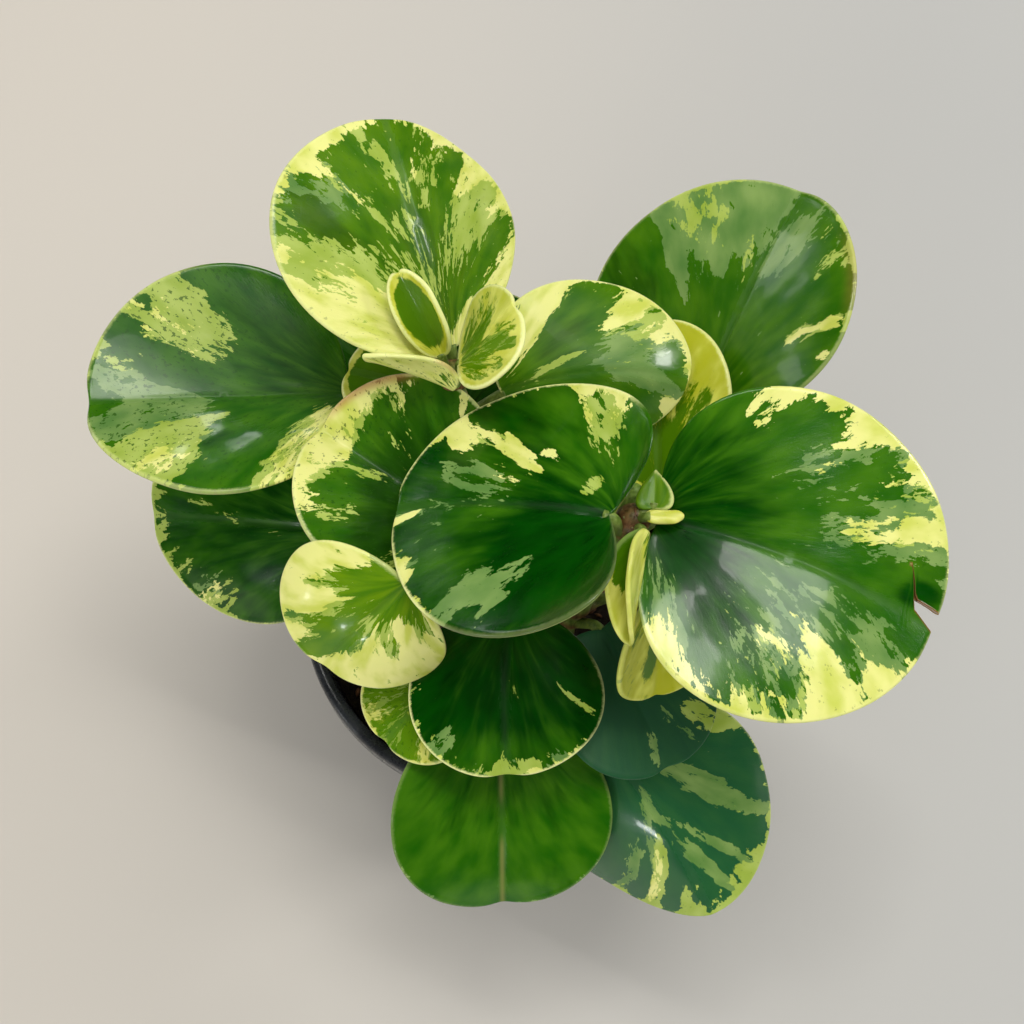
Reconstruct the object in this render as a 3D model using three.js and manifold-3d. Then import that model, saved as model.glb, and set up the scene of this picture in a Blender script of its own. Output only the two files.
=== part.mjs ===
// Potted variegated peperomia: four fleshy stems with round, thick leaves on short stalks, in a
// small plastic nursery pot. Millimetres, +Z up, origin at the centre of the pot's underside.

import * as THREE from 'three';
import { mergeVertices } from 'three/addons/utils/BufferGeometryUtils.js';
import Module from 'manifold-3d';

const wasm = await Module();
wasm.setup();

// ---------------------------------------------------------------- driving dimensions

const CLEARANCE = 0.3; // gap between two pieces that touch on the real plant

const POT = {
  height: 106,
  rimRadius: 60,
  rimBand: 9, // height of the rolled rim
  rimStep: 2.6, // how far the rim stands out from the wall below it
  rimChamfer: 0.8, // at the rim's lower edge
  lipSteps: 6, // facets over the rounded top of the rim
  baseRadius: 43,
  baseChamfer: 2,
  wall: 1.5,
  floor: 2,
  drainHoles: 6,
  drainRadius: 4,
  drainCircle: 27,
  drainSides: 16,
  sides: 48
};

const SOIL = {
  top: 93, // height of the surface at the wall
  mound: 3, // how much higher it is at the middle
  rings: 5,
  sides: 36
};

const STEM = {
  buried: 28, // depth of the stem's foot in the soil
  radius: 3.7, // at the soil
  tipRadius: 2.6,
  tipTaper: 0.6, // the last ring's share of that radius
  nodeSwell: 0.7, // thickening where a leaf stalk leaves
  nodeReach: 3,
  sides: 8,
  step: 7 // height between two rings
};

const STALK = {
  radius: 1.7,
  climb: 40, // degrees above level where the stalk leaves the stem
  set: 1, // how far behind the blade's base the tube ends
  rings: 4
};

const BLADE = {
  thickness: 1.4,
  ridge: 1.9, // depth of the midrib under the blade's base
  notch: 1.2, // how far the tip is drawn in
  bluntAngle: 9, // degrees of the outline's half turn left blunt at each end
  stations: 13,
  columns: [1, 0.55, 0, -0.55, -1], // from the left margin over the midrib to the right margin
  swell: 1.1, // of a leaf whose entry gives none
  lobe: 1, // likewise
  narrowest: 1.5, // half width that the funnel is reckoned with near the ends
  flattest: 1e-6, // curvature that stands in for none, in radians per millimetre
  midribSteps: 60 // of the sum that bends a midrib
};

// Each stem rises out of the soil at its foot and ends at its tip.
const STEMS = {
  a: { foot: [-10, 20], tip: [-12.5, 35, 184] },
  b: { foot: [16, -12], tip: [32, -8, 191.5] },
  c: { foot: [-12, -12], tip: [-5, -13, 171] },
  d: { foot: [20, 16], tip: [36, 13, 158] }
};

// A leaf leaves its stem at the height joint. Its blade starts at base, heads that many degrees
// from +X, rises from level by rise and turns down by droop on its way to the tip. Roll lifts the
// left half. Fold is the slope of each half at the midrib, cup the slope that it gains towards
// the margin, and funnel the extra slope beside the base. Swell moves the widest place to the tip,
// lobe draws the base back beside the stalk, twist rolls the tip, and uneven widens the left half.
const LEAVES = {
  a1: {
    joint: 170, base: [-13, 41, 183], heading: 110, rise: 43, droop: 32, bend: -3, roll: 28,
    length: 62, width: 75, cup: -4, fold: -12, funnel: 15
  },
  a2: {
    joint: 150, base: [-42, 40, 160], heading: 184, rise: 4, droop: -6, bend: 4, roll: 5,
    length: 70, width: 76, cup: 9, fold: 15, funnel: 2, swell: 0.94, twist: 6
  },
  a3: {
    joint: 160, base: [0, 35, 170], heading: 10, rise: 31, droop: 74, bend: -9, roll: 31,
    length: 55, width: 54, cup: -35, fold: -14, funnel: 35, swell: 0.9
  },
  a4: {
    joint: 156, base: [-23.5, 39, 164], heading: 165, rise: 20, droop: 32, bend: 0, roll: 2,
    length: 20, width: 25, cup: 9, fold: 5, funnel: 15
  },
  a5: {
    joint: 135, base: [-11, 43, 144], heading: 78, rise: 20, droop: 25, bend: 0, roll: 0,
    length: 38, width: 40, cup: 10, fold: 6, funnel: 15
  },
  a6: {
    joint: 126, base: [-27, 46, 140], heading: 135, rise: 15, droop: 35, bend: 5, roll: 0,
    length: 54, width: 54, cup: -10, fold: 8, funnel: 20
  },
  a7: {
    joint: 112, base: [-40, 32, 119], heading: 166, rise: 5, droop: 30, bend: 0, roll: 5,
    length: 52, width: 50, cup: -15, fold: 8, funnel: 20
  },
  b1: {
    joint: 182, base: [38, -8, 188.5], heading: -20, rise: 18, droop: 43, bend: -6, roll: 11,
    length: 71, width: 79, cup: -12, fold: 6, funnel: 31, swell: 0.88, lobe: 5, twist: -17
  },
  b2: {
    joint: 183, base: [25.5, -11.5, 198.5], heading: 164, rise: -13, droop: 14, bend: 12, roll: 8,
    length: 57, width: 71, cup: -9, fold: -2, funnel: 50, swell: 0.82, lobe: 18
  },
  b3: {
    joint: 160, base: [38, -20.5, 173], heading: -80, rise: -41, droop: 12, bend: -14, roll: -27,
    length: 32, width: 30, cup: 16, fold: 6, funnel: 23
  },
  b5: {
    joint: 108, base: [26, -46, 123], heading: -49, rise: -2, droop: 46, bend: -12, roll: 19,
    length: 64, width: 75, cup: -36, fold: -20, funnel: 46, swell: 1
  },
  b6: {
    joint: 130, base: [46, -10, 146], heading: -8, rise: 15, droop: 40, bend: 0, roll: 0,
    length: 56, width: 56, cup: -10, fold: 8, funnel: 20
  },
  b7: {
    joint: 122, base: [27, -20, 136], heading: -65, rise: 2, droop: 20, bend: 0, roll: 0,
    length: 42, width: 44, cup: -8, fold: 8, funnel: 15, lobe: 8
  },
  c1: {
    joint: 152, base: [-7.5, -1, 162], heading: 152, rise: 22, droop: 18, bend: -7, roll: -6,
    length: 49, width: 58, cup: 4, fold: 14, funnel: 16, swell: 0.94
  },
  c2: {
    joint: 167, base: [-22.5, -21, 179], heading: -142, rise: -20, droop: 34, bend: -7, roll: -33,
    length: 35, width: 53, cup: -60, fold: 6, funnel: 4
  },
  c3: {
    joint: 143, base: [2.5, -20, 155], heading: -96, rise: -1, droop: 28, bend: 9, roll: 2,
    length: 44, width: 52, cup: -28, fold: 4, funnel: 20
  },
  c4: {
    joint: 128, base: [-13, -34, 142], heading: -140, rise: -3, droop: 33, bend: 4, roll: -4,
    length: 27, width: 32, cup: -12, fold: 5, funnel: 15
  },
  c5: {
    joint: 112, base: [-1, -37.5, 125], heading: -88, rise: 0, droop: 56, bend: -2, roll: -7,
    length: 60, width: 61, cup: -11, fold: 10, funnel: 14
  },
  c6: {
    joint: 122, base: [-45, 9, 135], heading: 172, rise: 0, droop: 17, bend: -2, roll: -37,
    length: 59, width: 67, cup: -24, fold: -2, funnel: 26, swell: 1
  },
  d1: {
    joint: 143, base: [43.5, 16.5, 146], heading: 92, rise: 29, droop: 19, bend: -3, roll: -18,
    length: 48.5, width: 42.5, cup: 7, fold: 6, funnel: 7
  },
  d2: {
    joint: 138, base: [54, 37, 151], heading: 68, rise: 28, droop: 9, bend: -10, roll: -25,
    length: 69, width: 79, cup: -21, fold: 16, funnel: 30, swell: 0.9, uneven: 0.12
  },
  d3: {
    joint: 116, base: [42, 42, 128], heading: 50, rise: 10, droop: 35, bend: 0, roll: 0,
    length: 56, width: 56, cup: -10, fold: 8, funnel: 20
  }
};

// Young leaves still grow on the stem's tip, so each is one body with its stem.
const YOUNG_LEAVES = {
  a: [
    {
      joint: 180, base: [-15, 37, 186.5], heading: 129, rise: 57, droop: 18, bend: -1, roll: -31,
      length: 26, width: 13, cup: 33, fold: 7, funnel: 18
    },
    {
      joint: 180, base: [-11, 34.5, 186.5], heading: 21, rise: 49, droop: 8, bend: 14, roll: -25,
      length: 24, width: 32, cup: 18, fold: -11, funnel: 17
    },
    {
      joint: 181, base: [-11, 29.5, 186], heading: 171, rise: 26, droop: -4, bend: 12, roll: 77,
      length: 26, width: 16, cup: 26, fold: 6, funnel: 15
    }
  ],
  b: [
    {
      joint: 187, base: [33.6, -12.5, 193.5], heading: -97, rise: -11, droop: 20, bend: 0, roll: 34,
      length: 28, width: 24, cup: 10, fold: 68, funnel: 10, swell: 1.25, twist: -26
    },
    {
      joint: 190, base: [34, -9.5, 193.5], heading: 0, rise: 8, droop: 15, bend: 0, roll: 0,
      length: 9.5, width: 7, cup: 70, fold: 55, funnel: 0
    },
    {
      joint: 190, base: [35.5, -6.5, 193.5], heading: 100, rise: 12, droop: 10, bend: 0, roll: -15,
      length: 12, width: 12, cup: 20, fold: 12, funnel: 10
    }
  ],
  c: [],
  d: []
};

const YOUNG_SCALE = 0.8; // a young leaf's stalk and blade are this much thinner

const LOOKS = {
  pot: { color: 0x2b2c2a, roughness: 0.35 },
  soil: { color: 0x2a2119, roughness: 0.95 },
  stem: { color: 0x6f8a3a, roughness: 0.45 },
  leaf: { color: 0x3f7a1c, roughness: 0.3 }
};

// ---------------------------------------------------------------- small helpers

const { degToRad: radians, lerp } = THREE.MathUtils;

function meshOf(name, geometry, look) {
  const material = new THREE.MeshStandardMaterial({ ...LOOKS[look], metalness: 0 });
  const mesh = new THREE.Mesh(geometry, material);
  mesh.name = name;
  return mesh;
}

function toSolid(geometry) {
  const bare = geometry.clone();
  bare.deleteAttribute('normal');
  bare.deleteAttribute('uv');
  const merged = mergeVertices(bare, 1e-4);
  const mesh = new wasm.Mesh({
    numProp: 3,
    vertProperties: new Float32Array(merged.attributes.position.array),
    triVerts: new Uint32Array(merged.index.array)
  });
  return new wasm.Manifold(mesh);
}

function toGeometry(solid) {
  const mesh = solid.getMesh();
  const geometry = new THREE.BufferGeometry();
  geometry.setAttribute('position', new THREE.BufferAttribute(mesh.vertProperties, 3));
  geometry.setIndex(new THREE.BufferAttribute(mesh.triVerts, 1));
  geometry.computeVertexNormals();
  return geometry;
}

// A closed skin over rings with the same even number of points. Each ring runs anticlockwise
// seen from the far end. Its second half lies under the first, so both ends close in a strip, and
// the quads of the second half are split the other way to match the ones above them.
function skin(rings) {
  const count = rings[0].length;
  const half = count / 2;
  const positions = rings.flat().flatMap((p) => [p.x, p.y, p.z]);
  const index = [];
  for (let r = 0; r < rings.length - 1; r += 1) {
    for (let k = 0; k < count; k += 1) {
      const next = (k + 1) % count;
      const a = r * count + k;
      const b = r * count + next;
      const c = (r + 1) * count + next;
      const d = (r + 1) * count + k;
      if (k < half) index.push(a, b, c, a, c, d);
      else index.push(a, b, d, b, c, d);
    }
  }
  const last = (rings.length - 1) * count;
  for (let k = 0; k < half - 1; k += 1) {
    const [a, b, c, d] = [k, k + 1, count - 2 - k, count - 1 - k];
    index.push(a, c, b, a, d, c);
    index.push(last + a, last + b, last + c, last + a, last + c, last + d);
  }
  const geometry = new THREE.BufferGeometry();
  geometry.setAttribute('position', new THREE.Float32BufferAttribute(positions, 3));
  geometry.setIndex(index);
  geometry.computeVertexNormals();
  return geometry;
}

function tubeRing(centre, across, up, radius, sides) {
  const ring = [];
  for (let k = 0; k < sides; k += 1) {
    const turn = ((k + 0.5) / sides) * 2 * Math.PI;
    ring.push(
      centre.clone()
        .addScaledVector(across, radius * Math.cos(turn))
        .addScaledVector(up, radius * Math.sin(turn))
    );
  }
  return ring;
}

// ---------------------------------------------------------------- pot and soil

const wallTop = POT.height - POT.rimBand;

function potOuterRadius(height) {
  return lerp(POT.baseRadius, POT.rimRadius - POT.rimStep, height / wallTop);
}

function potInnerRadius(height) {
  return potOuterRadius(height) - POT.wall;
}

function arcPoints(x, y, radius, from, to, steps) {
  const points = [];
  for (let k = 0; k <= steps; k += 1) {
    const turn = radians(lerp(from, to, k / steps));
    points.push(new THREE.Vector2(x + radius * Math.cos(turn), y + radius * Math.sin(turn)));
  }
  return points;
}

function makePot() {
  const innerTop = potInnerRadius(wallTop);
  const lip = (POT.rimRadius - innerTop) / 2;
  const profile = [
    new THREE.Vector2(0, 0),
    new THREE.Vector2(POT.baseRadius - POT.baseChamfer, 0),
    new THREE.Vector2(potOuterRadius(POT.baseChamfer), POT.baseChamfer),
    new THREE.Vector2(potOuterRadius(wallTop), wallTop),
    new THREE.Vector2(POT.rimRadius - POT.rimChamfer, wallTop),
    new THREE.Vector2(POT.rimRadius, wallTop + POT.rimChamfer),
    ...arcPoints(innerTop + lip, POT.height - lip, lip, 0, 180, POT.lipSteps),
    new THREE.Vector2(innerTop, wallTop),
    new THREE.Vector2(potInnerRadius(POT.floor), POT.floor),
    new THREE.Vector2(0, POT.floor)
  ];
  let solid = toSolid(new THREE.LatheGeometry(profile, POT.sides));
  for (let k = 0; k < POT.drainHoles; k += 1) {
    const turn = (k / POT.drainHoles) * 2 * Math.PI;
    const hole = new THREE.CylinderGeometry(
      POT.drainRadius, POT.drainRadius, 4 * POT.floor, POT.drainSides
    );
    hole.translate(Math.cos(turn) * POT.drainCircle, 0, Math.sin(turn) * POT.drainCircle);
    solid = solid.subtract(toSolid(hole));
  }
  return toGeometry(solid).rotateX(Math.PI / 2);
}

function soilHeight(radius) {
  return SOIL.top + SOIL.mound * (1 - (radius / potInnerRadius(SOIL.top)) ** 2);
}

function makeSoil(stemHoles) {
  const bottom = POT.floor + CLEARANCE;
  const edge = potInnerRadius(SOIL.top) - CLEARANCE;
  const profile = [
    new THREE.Vector2(0, bottom),
    new THREE.Vector2(potInnerRadius(bottom) - CLEARANCE, bottom)
  ];
  for (let k = 0; k <= SOIL.rings; k += 1) {
    const radius = edge * (1 - k / SOIL.rings);
    profile.push(new THREE.Vector2(radius, soilHeight(radius)));
  }
  let solid = toSolid(new THREE.LatheGeometry(profile, SOIL.sides).rotateX(Math.PI / 2));
  for (const hole of stemHoles) {
    solid = solid.subtract(toSolid(hole));
  }
  return toGeometry(solid);
}

// ---------------------------------------------------------------- stems

function stemAxis(stem, height) {
  const share = (height - SOIL.top) / (stem.tip[2] - SOIL.top);
  const ease = THREE.MathUtils.smoothstep(share, 0, 1);
  return new THREE.Vector3(
    lerp(stem.foot[0], stem.tip[0], ease),
    lerp(stem.foot[1], stem.tip[1], ease),
    height
  );
}

function stemRadius(stem, joints, height) {
  const share = THREE.MathUtils.clamp((height - SOIL.top) / (stem.tip[2] - SOIL.top), 0, 1);
  let radius = lerp(STEM.radius, STEM.tipRadius, share);
  for (const joint of joints) {
    radius += STEM.nodeSwell * Math.exp(-(((height - joint) / STEM.nodeReach) ** 2));
  }
  return radius;
}

function stemSkin(stem, joints, extraRadius) {
  const from = SOIL.top - STEM.buried - extraRadius;
  const to = extraRadius > 0 ? SOIL.top + 2 * SOIL.mound : stem.tip[2];
  const count = Math.ceil((to - from) / STEM.step);
  const rings = [];
  const across = new THREE.Vector3(1, 0, 0);
  const up = new THREE.Vector3(0, 1, 0);
  for (let k = 0; k <= count; k += 1) {
    const height = lerp(from, to, k / count);
    const atTip = extraRadius === 0 && k === count;
    const radius = (stemRadius(stem, joints, height) + extraRadius) * (atTip ? STEM.tipTaper : 1);
    rings.push(tubeRing(stemAxis(stem, height), across, up, radius, STEM.sides));
  }
  return skin(rings);
}

// ---------------------------------------------------------------- leaves

// Directions at the share s of the blade's length: along the midrib, across to the left and up.
function bladeFrame(leaf, s) {
  const pitch = radians(leaf.rise - leaf.droop * s);
  const heading = radians(leaf.heading + leaf.bend * s);
  const roll = radians(leaf.roll + (leaf.twist ?? 0) * (s - 0.5));
  const along = new THREE.Vector3(
    Math.cos(heading) * Math.cos(pitch),
    Math.sin(heading) * Math.cos(pitch),
    Math.sin(pitch)
  );
  const level = new THREE.Vector3(-Math.sin(heading), Math.cos(heading), 0);
  const normal = new THREE.Vector3().crossVectors(along, level);
  const across = level.clone().multiplyScalar(Math.cos(roll)).addScaledVector(normal, Math.sin(roll));
  const up = new THREE.Vector3().crossVectors(along, across);
  return { along, across, up };
}

function midribPoint(leaf, s) {
  const point = new THREE.Vector3(...leaf.base);
  const steps = Math.max(1, Math.round(BLADE.midribSteps * s));
  for (let k = 0; k < steps; k += 1) {
    const { along } = bladeFrame(leaf, ((k + 0.5) / steps) * s);
    point.addScaledVector(along, (leaf.length * s) / steps);
  }
  return point;
}

const lastTurn = 180 - BLADE.bluntAngle;
const TURN_SLACK = 0.01; // degrees

// Point of the blade's middle layer and its normal, at outline angle turn (0 at the base, 180 at
// the tip) and column v (1 at the left margin, 0 at the midrib, -1 at the right margin).
function bladePoint(leaf, turn, v) {
  const s = ((1 - Math.cos(radians(turn))) / 2) ** (1 / (leaf.swell ?? BLADE.swell));
  const { along, across, up } = bladeFrame(leaf, s);
  const side = Math.sign(v);
  const halfWidth = (leaf.width / 2) * Math.sin(radians(turn));
  const reach = halfWidth * Math.abs(v) * (1 + side * (leaf.uneven ?? 0));
  const fold = radians(leaf.fold);
  const gain = radians(leaf.cup) / (leaf.width / 2)
    + (radians(leaf.funnel) * (1 - s) ** 2) / Math.max(halfWidth, BLADE.narrowest);
  const curve = Math.abs(gain) > BLADE.flattest ? gain : BLADE.flattest;
  const slope = fold + curve * reach;
  const sideways = (Math.sin(slope) - Math.sin(fold)) / curve;
  const lift = (Math.cos(fold) - Math.cos(slope)) / curve;
  const back = (leaf.lobe ?? BLADE.lobe) * Math.sin(radians(turn)) * (1 - s) ** 2 * Math.abs(v);
  const atTip = v === 0 && turn > lastTurn - TURN_SLACK ? BLADE.notch : 0;
  const point = midribPoint(leaf, s)
    .addScaledVector(along, -back - atTip)
    .addScaledVector(across, side * sideways)
    .addScaledVector(up, lift);
  const normal = up.clone().multiplyScalar(Math.cos(slope))
    .addScaledVector(across, -side * Math.sin(slope));
  return { point, normal, s };
}

function bladeRing(leaf, turn, scale) {
  const over = [];
  const under = [];
  for (const v of BLADE.columns) {
    const { point, normal, s } = bladePoint(leaf, turn, v);
    const ridge = v === 0 ? BLADE.ridge * (1 - s) : 0;
    over.push(point.clone().addScaledVector(normal, (BLADE.thickness / 2) * scale));
    under.unshift(point.clone().addScaledVector(normal, -(BLADE.thickness / 2 + ridge) * scale));
  }
  return [...over, ...under];
}

// The stalk is a round tube from the stem to the blade. A young leaf's stalk starts inside the stem.
function stalkRings(leaf, stem, joints, scale, inside) {
  const axis = stemAxis(stem, leaf.joint);
  const { along, across } = bladeFrame(leaf, 0);
  const base = new THREE.Vector3(...leaf.base).addScaledVector(along, -STALK.set);
  const outward = base.clone().sub(axis).setZ(0).normalize();
  const climb = radians(STALK.climb);
  const radius = STALK.radius * scale;
  const clear = stemRadius(stem, joints, leaf.joint) + CLEARANCE + radius * Math.sin(climb);
  const start = axis.addScaledVector(outward, inside ? 0 : clear);
  const leaving = outward.clone().multiplyScalar(Math.cos(climb)).setZ(Math.sin(climb));
  const pull = start.distanceTo(base) / 3; // a cubic curve's handles, a third of the way
  const path = new THREE.CubicBezierCurve3(
    start,
    start.clone().addScaledVector(leaving, pull),
    base.clone().addScaledVector(along, -pull),
    base
  );
  const rings = [];
  for (let k = 0; k < STALK.rings; k += 1) {
    const share = k / (STALK.rings - 1);
    const forward = path.getTangent(share);
    const sideways = across.clone().addScaledVector(forward, -across.dot(forward)).normalize();
    const upward = new THREE.Vector3().crossVectors(forward, sideways);
    const sides = 2 * BLADE.columns.length;
    rings.push(tubeRing(path.getPoint(share), sideways, upward, radius, sides));
  }
  return rings;
}

function leafSkin(leaf, stem, joints, scale = 1, inside = false) {
  const rings = stalkRings(leaf, stem, joints, scale, inside);
  for (let k = 0; k < BLADE.stations; k += 1) {
    const turn = lerp(BLADE.bluntAngle, lastTurn, k / (BLADE.stations - 1));
    rings.push(bladeRing(leaf, turn, scale));
  }
  return skin(rings);
}

// ---------------------------------------------------------------- the plant in its pot

const plant = new THREE.Group();
const stemHoles = [];

for (const [letter, stem] of Object.entries(STEMS)) {
  const leaves = Object.entries(LEAVES).filter(([name]) => name.startsWith(letter));
  const joints = leaves.map(([, leaf]) => leaf.joint);
  stemHoles.push(stemSkin(stem, [], CLEARANCE));
  let solid = toSolid(stemSkin(stem, joints, 0));
  for (const young of YOUNG_LEAVES[letter]) {
    solid = solid.add(toSolid(leafSkin(young, stem, joints, YOUNG_SCALE, true)));
  }
  plant.add(meshOf(`stem_${letter}`, toGeometry(solid), 'stem'));
  for (const [name, leaf] of leaves) {
    plant.add(meshOf(`leaf_${name}`, leafSkin(leaf, stem, joints), 'leaf'));
  }
}

plant.add(meshOf('pot', makePot(), 'pot'));
plant.add(meshOf('soil', makeSoil(stemHoles), 'soil'));

export default plant;
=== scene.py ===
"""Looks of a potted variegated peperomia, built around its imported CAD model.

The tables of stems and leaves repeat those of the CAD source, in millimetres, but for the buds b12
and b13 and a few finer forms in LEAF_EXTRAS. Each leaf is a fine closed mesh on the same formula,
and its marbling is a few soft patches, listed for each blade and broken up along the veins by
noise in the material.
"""

import math
import random

import bpy
import numpy as np
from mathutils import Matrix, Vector, noise


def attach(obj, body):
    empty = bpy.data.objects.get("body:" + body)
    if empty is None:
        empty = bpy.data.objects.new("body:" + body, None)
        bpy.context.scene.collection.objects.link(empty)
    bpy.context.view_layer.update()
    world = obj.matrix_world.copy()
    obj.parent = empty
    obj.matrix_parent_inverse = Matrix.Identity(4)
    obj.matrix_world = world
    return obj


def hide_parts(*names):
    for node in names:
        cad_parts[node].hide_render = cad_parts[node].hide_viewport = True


MM = 0.001

# ---------------------------------------------------------------- camera, made first

CAMERA_AT = (2.7, -126.7, 486.2)  # mm
CAMERA_TILT = 22.0  # degrees off straight down
HALF_VIEW = 0.384  # tangent of half the field of view
SENSOR = 36.0


def make_camera():
    data = bpy.data.cameras.new("camera")
    data.sensor_width = SENSOR
    data.lens = SENSOR / 2 / HALF_VIEW
    data.clip_start = 0.01
    data.clip_end = 50
    camera = bpy.data.objects.new("camera", data)
    bpy.context.scene.collection.objects.link(camera)
    camera.location = [c * MM for c in CAMERA_AT]
    camera.rotation_euler = (math.radians(CAMERA_TILT), 0, 0)
    bpy.context.scene.camera = camera


make_camera()
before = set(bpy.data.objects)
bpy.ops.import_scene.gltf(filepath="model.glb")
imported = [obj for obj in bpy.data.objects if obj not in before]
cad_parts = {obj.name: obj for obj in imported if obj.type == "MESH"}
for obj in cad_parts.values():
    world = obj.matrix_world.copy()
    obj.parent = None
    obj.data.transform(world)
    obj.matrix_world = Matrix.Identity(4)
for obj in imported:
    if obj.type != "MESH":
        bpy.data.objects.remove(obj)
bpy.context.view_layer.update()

# ---------------------------------------------------------------- the plant's tables, in mm

STEMS = {
    "a": {"foot": (-10, 20), "tip": (-12.5, 35, 184)},
    "b": {"foot": (16, -12), "tip": (32, -8, 191.5)},
    "c": {"foot": (-12, -12), "tip": (-5, -13, 171)},
    "d": {"foot": (20, 16), "tip": (36, 13, 158)},
}
SOIL_TOP = 93
SOIL_MOUND = 3
STEM_BURIED = 28
STEM_RADIUS = 3.7
STEM_TIP_RADIUS = 2.6
NODE_SWELL = 0.7
NODE_REACH = 3
STALK_RADIUS = 1.7
STALK_CLIMB = 40  # degrees above level where a stalk leaves its stem
BLADE_THICKNESS = 1.4
BLADE_RIDGE = 1.9
YOUNG_SCALE = 0.8

# The columns of the leaf tables, in mm and degrees. The joint is the height on the stem.
LEAF_KEYS = (
    "joint", "base", "heading", "rise", "droop", "bend", "roll", "length", "width", "cup", "fold", "funnel"
)
LEAVES = {
    "a1": (170, (-13, 41, 183), 110, 43, 32, -3, 28, 62, 75, -4, -12, 15),
    "a2": (150, (-42, 40, 160), 184, 4, -6, 4, 5, 70, 76, 9, 15, 2),
    "a3": (160, (0, 35, 170), 10, 31, 74, -9, 31, 55, 54, -35, -14, 35),
    "a4": (156, (-23.5, 39, 164), 165, 20, 32, 0, 2, 20, 25, 9, 5, 15),
    "a5": (135, (-11, 43, 144), 78, 20, 25, 0, 0, 38, 40, 10, 6, 15),
    "a6": (126, (-27, 46, 140), 135, 15, 35, 5, 0, 54, 54, -10, 8, 20),
    "a7": (112, (-40, 32, 119), 166, 5, 30, 0, 5, 52, 50, -15, 8, 20),
    "b1": (182, (38, -8, 188.5), -20, 18, 43, -6, 11, 71, 79, -12, 6, 31),
    "b2": (183, (25.5, -11.5, 198.5), 164, -13, 14, 12, 8, 57, 71, -9, -2, 50),
    "b3": (160, (38, -20.5, 173), -80, -41, 12, -14, -27, 32, 30, 16, 6, 23),
    "b5": (108, (26, -46, 123), -49, -2, 46, -12, 19, 64, 75, -36, -20, 46),
    "b6": (130, (46, -10, 146), -8, 15, 40, 0, 0, 56, 56, -10, 8, 20),
    "b7": (122, (27, -20, 136), -65, 2, 20, 0, 0, 42, 44, -8, 8, 15),
    "c1": (152, (-7.5, -1, 162), 152, 22, 18, -7, -6, 49, 58, 4, 14, 16),
    "c2": (167, (-22.5, -21, 179), -142, -20, 34, -7, -33, 35, 53, -60, 6, 4),
    "c3": (143, (2.5, -20, 155), -96, -1, 28, 9, 2, 44, 52, -28, 4, 20),
    "c4": (128, (-13, -34, 142), -140, -3, 33, 4, -4, 27, 32, -12, 5, 15),
    "c5": (112, (-1, -37.5, 125), -88, 0, 56, -2, -7, 60, 61, -11, 10, 14),
    "c6": (122, (-45, 9, 135), 172, 0, 17, -2, -37, 59, 67, -24, -2, 26),
    "d1": (143, (43.5, 16.5, 146), 92, 29, 19, -3, -18, 48.5, 42.5, 7, 6, 7),
    "d2": (138, (54, 37, 151), 68, 28, 9, -10, -25, 69, 79, -21, 16, 30),
    "d3": (116, (42, 42, 128), 50, 10, 35, 0, 0, 56, 56, -10, 8, 20),
}
YOUNG_LEAVES = {
    "a11": (180, (-15, 37, 186.5), 129, 57, 18, -1, -31, 26, 13, 33, 7, 18),
    "a12": (180, (-11, 34.5, 186.5), 21, 49, 8, 14, -25, 24, 32, 18, -11, 17),
    "a13": (181, (-11, 29.5, 186), 171, 26, -4, 12, 77, 26, 16, 26, 6, 15),
    "b11": (187, (33.6, -12.5, 193.5), -97, -11, 20, 0, 34, 28, 24, 10, 68, 10),
    "b12": (190, (34, -9.5, 193.5), 0, 8, 15, 0, 0, 9.5, 4.6, -80, 0, 0),
    "b13": (190, (36.5, -7.5, 193), 86, 8, 10, 0, -15, 10, 10, 5, 4, 0),
}
LEAF_EXTRAS = {
    "a2": {"swell": 0.94, "twist": 6},
    "a3": {"swell": 0.9},
    "b1": {"swell": 0.88, "lobe": 5, "twist": -17, "notch": 0.2, "tear": True},
    "b2": {"swell": 0.82, "lobe": 18},
    "b5": {"swell": 1},
    "b7": {"lobe": 8},
    "c1": {"swell": 0.94},
    "c6": {"swell": 1},
    "d2": {"swell": 0.9, "uneven": 0.12, "notch": 0.3},
    "a13": {"taper": 0.6, "notch": 0},
    "b11": {"swell": 1.25, "twist": -26, "taper": 0.35, "notch": 0},
    "b12": {"notch": 0},
    "b13": {"swell": 0.7, "taper": 0.75, "notch": 0},
}
USUAL = {"swell": 1.1, "lobe": 1, "twist": 0, "uneven": 0, "taper": 0, "notch": 1.2, "tear": False}


def leaf_of(name):
    table = YOUNG_LEAVES if name in YOUNG_LEAVES else LEAVES
    leaf = dict(zip(LEAF_KEYS, table[name]))
    leaf.update(USUAL)
    leaf.update(LEAF_EXTRAS.get(name, {}))
    leaf["name"] = name
    leaf["scale"] = YOUNG_SCALE if name in YOUNG_LEAVES else 1
    leaf["pale_under"] = 0.1 if name in YOUNG_LEAVES else 0.55
    return leaf
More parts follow.
